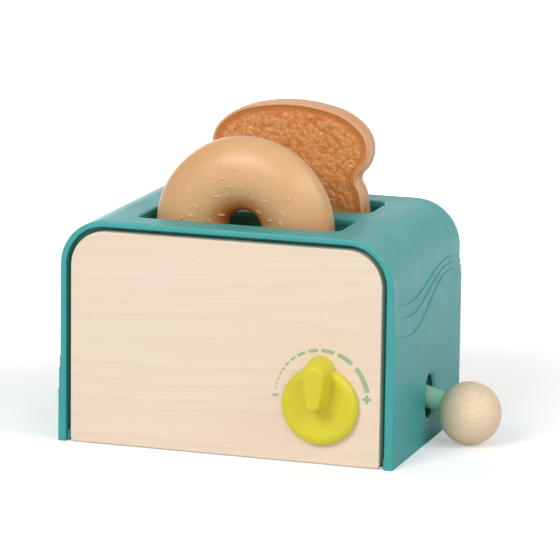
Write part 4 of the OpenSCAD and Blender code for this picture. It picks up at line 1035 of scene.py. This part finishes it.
toastFacts = {"middle": (8.1, 30.5, 76), "width": 97, "height": 116.2, "half": 7.5, "footRadius": 10,
              "shoulderRadius": 37, "lobeRadius": 18.8, "neckRadius": 5.8,
              # angles at which the crown, the shoulder, the lobe and the neck end
              "crownEnd": 74, "shoulderEnd": 44, "lobeEnd": -46, "neckEnd": 222,
              "crust": 1.2, "crustWidth": 2, "crumbDepth": 0.7, "hollow": 0.45, "wall": 2.2,
              "groove": 0.22, "spacing": 0.72, "rings": 76,
              # width and height of the two sizes of lump, and how far from the crust they begin
              "lumps": ((3.1, 0.5), (1.7, 0.26)), "fade": (0.3, 3.2),
              # the slope from the crust down to the crumb: further in, and depth below the face
              "slope": ((-0.5, 0.02), (-0.1, 0.12), (0.3, 0.36), (0.8, 0.66), (1.5, 0.92)),
              "slopeEnd": 2.3}
crumbBrown = toastCrumb(toastFacts)


def along(middle, radius, angle):
    turn = math.radians(angle)
    return middle[0] + radius * math.cos(turn), middle[1] + radius * math.sin(turn)


def toastOutline():
    # counter-clockwise from the middle of the foot, evenly spaced; each arc of the crown runs on
    # into the next, and the sides are parabolas
    f = toastFacts
    footHalf, footRadius = f["width"] / 2 - 2, f["footRadius"]
    first, second = f["shoulderRadius"] - f["lobeRadius"], f["lobeRadius"] + f["neckRadius"]
    bends = [math.cos(math.radians(f[key])) for key in ("crownEnd", "shoulderEnd")]
    crown = f["shoulderRadius"] + (f["width"] / 2 - f["lobeRadius"] - first * bends[1]) / bends[0]
    top = (0, f["height"] - crown)
    shoulder = along(top, crown - f["shoulderRadius"], f["crownEnd"])
    lobe = along(shoulder, first, f["shoulderEnd"])
    neck = along(lobe, second, f["lobeEnd"])
    hip = along(neck, f["neckRadius"], f["neckEnd"])
    low = (footHalf, f["height"] / 4)
    bend = (footHalf, hip[1] - (footHalf - hip[0]) / math.tan(math.radians(f["neckEnd"] - 180)))
    side = [(0, 0)] + arc((footHalf - footRadius, footRadius), footRadius, -90, 0, 20)
    side += [tuple((1 - t) ** 2 * a + 2 * t * (1 - t) * b + t * t * c for a, b, c in zip(low, bend, hip))
             for t in [i / 30 for i in range(31)]]
    side += arc(neck, f["neckRadius"], f["neckEnd"], f["lobeEnd"] + 180, 14)[1:]
    side += arc(lobe, f["lobeRadius"], f["lobeEnd"], f["shoulderEnd"], 36)[1:]
    side += arc(shoulder, f["shoulderRadius"], f["shoulderEnd"], f["crownEnd"], 20)[1:]
    side += arc(top, crown, f["crownEnd"], 90, 30)[1:]
    whole = side + [(-x, z) for x, z in side[-2:0:-1]]
    lengths = [0]
    for a, b in zip(whole, whole[1:] + whole[:1]):
        lengths.append(lengths[-1] + math.dist(a, b))
    count = round(lengths[-1] / f["spacing"])
    even, k = [], 0
    for i in range(count):
        want = lengths[-1] * i / count
        while lengths[k + 1] < want:
            k += 1
        a, b = whole[k], whole[(k + 1) % len(whole)]
        t = (want - lengths[k]) / (lengths[k + 1] - lengths[k])
        even.append((a[0] + (b[0] - a[0]) * t, a[1] + (b[1] - a[1]) * t))
    return even


def crumbHeight(x, z, seed):
    # rounded lumps a few millimetres wide, with narrow hollows between them
    height = 0
    for size, high in toastFacts["lumps"]:
        bend = 0.5 * noise.noise(Vector((x / 4, z / 4, seed + size)))
        near = noise.voronoi(Vector((x / size + bend, z / size - bend, seed + size * 3)))[0][0]
        height += high * (1 - min(1, near / 0.8) ** 2)
    return height


def makeToastHalf(name, side, node):
    # side is -1 for the front half and 1 for the back half
    f = toastFacts
    x, y, z = f["middle"]
    outline = toastOutline()
    half, crumb = f["half"], f["half"] - f["crumbDepth"]
    steps = [(f["wall"] + 1, crumb - f["wall"]), (f["wall"], crumb - f["wall"] - 1), (f["wall"], 0),
             (f["groove"], 0), (0, f["groove"] * 1.3)]
    steps += [(f["crust"] * (1 - math.cos(a)), half - f["crust"] * (1 - math.sin(a)))
              for a in angles(15, 0, 6)]
    low, edgeAt = crumb - f["hollow"], f["crustWidth"] + f["slopeEnd"]
    steps += [(f["crustWidth"] + further, half - below) for further, below in f["slope"]] + [(edgeAt, low)]
    rings = [facing(inset(outline, inward), deep) for inward, deep in steps]
    edge = inset(outline, edgeAt)
    middle = (0, f["height"] / 2)
    for i in range(1, f["rings"] + 1):
        share = 1 - i / f["rings"]
        ring = []
        for a, b in edge:
            px, pz = middle[0] + (a - middle[0]) * share, middle[1] + (b - middle[1]) * share
            inward = math.dist((a, b), middle) * (1 - share)
            lump = crumbHeight(px, pz, 7.3 * side) * min(1, max(0, inward - f["fade"][0]) / f["fade"][1])
            ring.append((px, low + lump if share else low, pz))
        rings.append(ring)
    rings.insert(0, [(middle[0], crumb - f["wall"], middle[1])] * len(outline))
    placed = [[(x + a, y + side * deep, z + b) for a, deep, b in ring] for ring in rings]
    # the crumb's colour, dark with painted shade, starts on the slope
    crumbFrom = (len(steps) - 4) * len(outline)
    piece = makePiece(name, skin(placed), crustTan, 60, (crumbBrown, crumbFrom))
    return carried(piece, "toast", "toast_plastic", node)


makeToastHalf("toastFrontHalf", -1, "toast_front")
makeToastHalf("toastBackHalf", 1, "toast_back")


# Floor, light and world

studioFacts = {
    "floorSize": 14, "floorColours": ("#e9e9e9", "#e7e7e7"), "ambient": 0.21,
    # how much brighter than it is lit the paper looks to the camera and in reflections: two
    # distances in metres, then the strength at each
    "cameraGlow": (0.12, 0.8, 0.32, 0.9), "mirrorGlow": (0.15, 0.8, 0, 0.8),
    # place and aim in metres, width and height in metres, power in watts
    "lamps": {"keyLamp": ((-0.8, -2.6, 1.9), (0, 0, 0.08), (1.3, 1.3), 53),
              "frontLamp": ((1.6, -2.0, 1.6), (0, 0, 0.08), (1.2, 1.2), 13),
              "sideLamp": ((2.5, -0.6, 1.8), (0, 0, 0.08), (1.4, 1.4), 25),
              "backLamp": ((-2.0, 2.2, 0.8), (0, 0, 0.08), (1.4, 1.4), 24),
              "topLamp": ((0.1, 0.3, 2.6), (0, 0, 0.1), (2.0, 2.0), 4.5)}}


def makeFloor(f):
    half = f["floorSize"] / 2 / mm
    material, tree, shader = newMaterial("paleStudioPaper", {"Roughness": 0.9})
    place = stretched(tree)
    # paper sweep, faintly uneven
    cloud = add(tree, "ShaderNodeTexNoise", {"Vector": place, "Scale": 1 / (40 * mm)})
    share = add(tree, "ShaderNodeMapRange", (cloud, 0.3, 0.7))
    first, second = f["floorColours"]
    tint = add(tree, "ShaderNodeMix", {0: share, 6: first, 7: second}, data_type="RGBA")
    plug(tint, shader, "Base Color")
    # camera and reflections see the paper brighter than it lights the toaster, so it reads as white
    away = add(tree, "ShaderNodeVectorMath", (place,), operation="LENGTH")
    path = add(tree, "ShaderNodeLightPath").outputs
    mirrored = add(tree, "ShaderNodeMath", (path["Is Glossy Ray"], path["Is Transmission Ray"]),
                   operation="MAXIMUM")
    direct = add(tree, "ShaderNodeMapRange", (away, *f["cameraGlow"]))
    reflected = add(tree, "ShaderNodeMapRange", (away, *f["mirrorGlow"]))
    reflected = add(tree, "ShaderNodeMath", (mirrored, reflected), operation="MULTIPLY")
    strength = add(tree, "ShaderNodeMath", (path["Is Camera Ray"], direct, reflected),
                   operation="MULTIPLY_ADD")
    glow = add(tree, "ShaderNodeEmission", {"Color": (1, 1, 1, 1), "Strength": strength})
    plug(add(tree, "ShaderNodeAddShader", {0: shader, 1: glow}), tree.nodes["Material Output"], "Surface")
    floor = makePiece("studioFloor", ([(-half, -half, 0), (half, -half, 0), (half, half, 0),
                                       (-half, half, 0)], [(0, 1, 2, 3)]), material)


def addLamps(f):
    for name, (place, aim, size, power) in f["lamps"].items():
        data = bpy.data.lights.new(name, "AREA")
        data.shape, data.size, data.size_y, data.energy = "RECTANGLE", size[0], size[1], power
        lamp = linked(name, data)
        lamp.location = place
        lamp.rotation_euler = (Vector(aim) - Vector(place)).to_track_quat("-Z", "Y").to_euler()


def setWorld(f):
    world = bpy.data.worlds.new("whiteStudio")
    world.use_nodes = True
    tree = world.node_tree
    path = add(tree, "ShaderNodeLightPath").outputs
    seen = path["Is Camera Ray"]
    for ray in ("Is Glossy Ray", "Is Transmission Ray"):
        seen = add(tree, "ShaderNodeMath", (seen, path[ray]), operation="MAXIMUM")
    back = tree.nodes["Background"]
    back.inputs["Color"].default_value = (1, 1, 1, 1)
    plug(add(tree, "ShaderNodeMapRange", (seen, 0, 1, f["ambient"], 1)), back, "Strength")
    bpy.context.scene.world = world


makeFloor(studioFacts)
addLamps(studioFacts)
setWorld(studioFacts)
bpy.context.scene.view_settings.view_transform = "Standard"
print("studio ready")
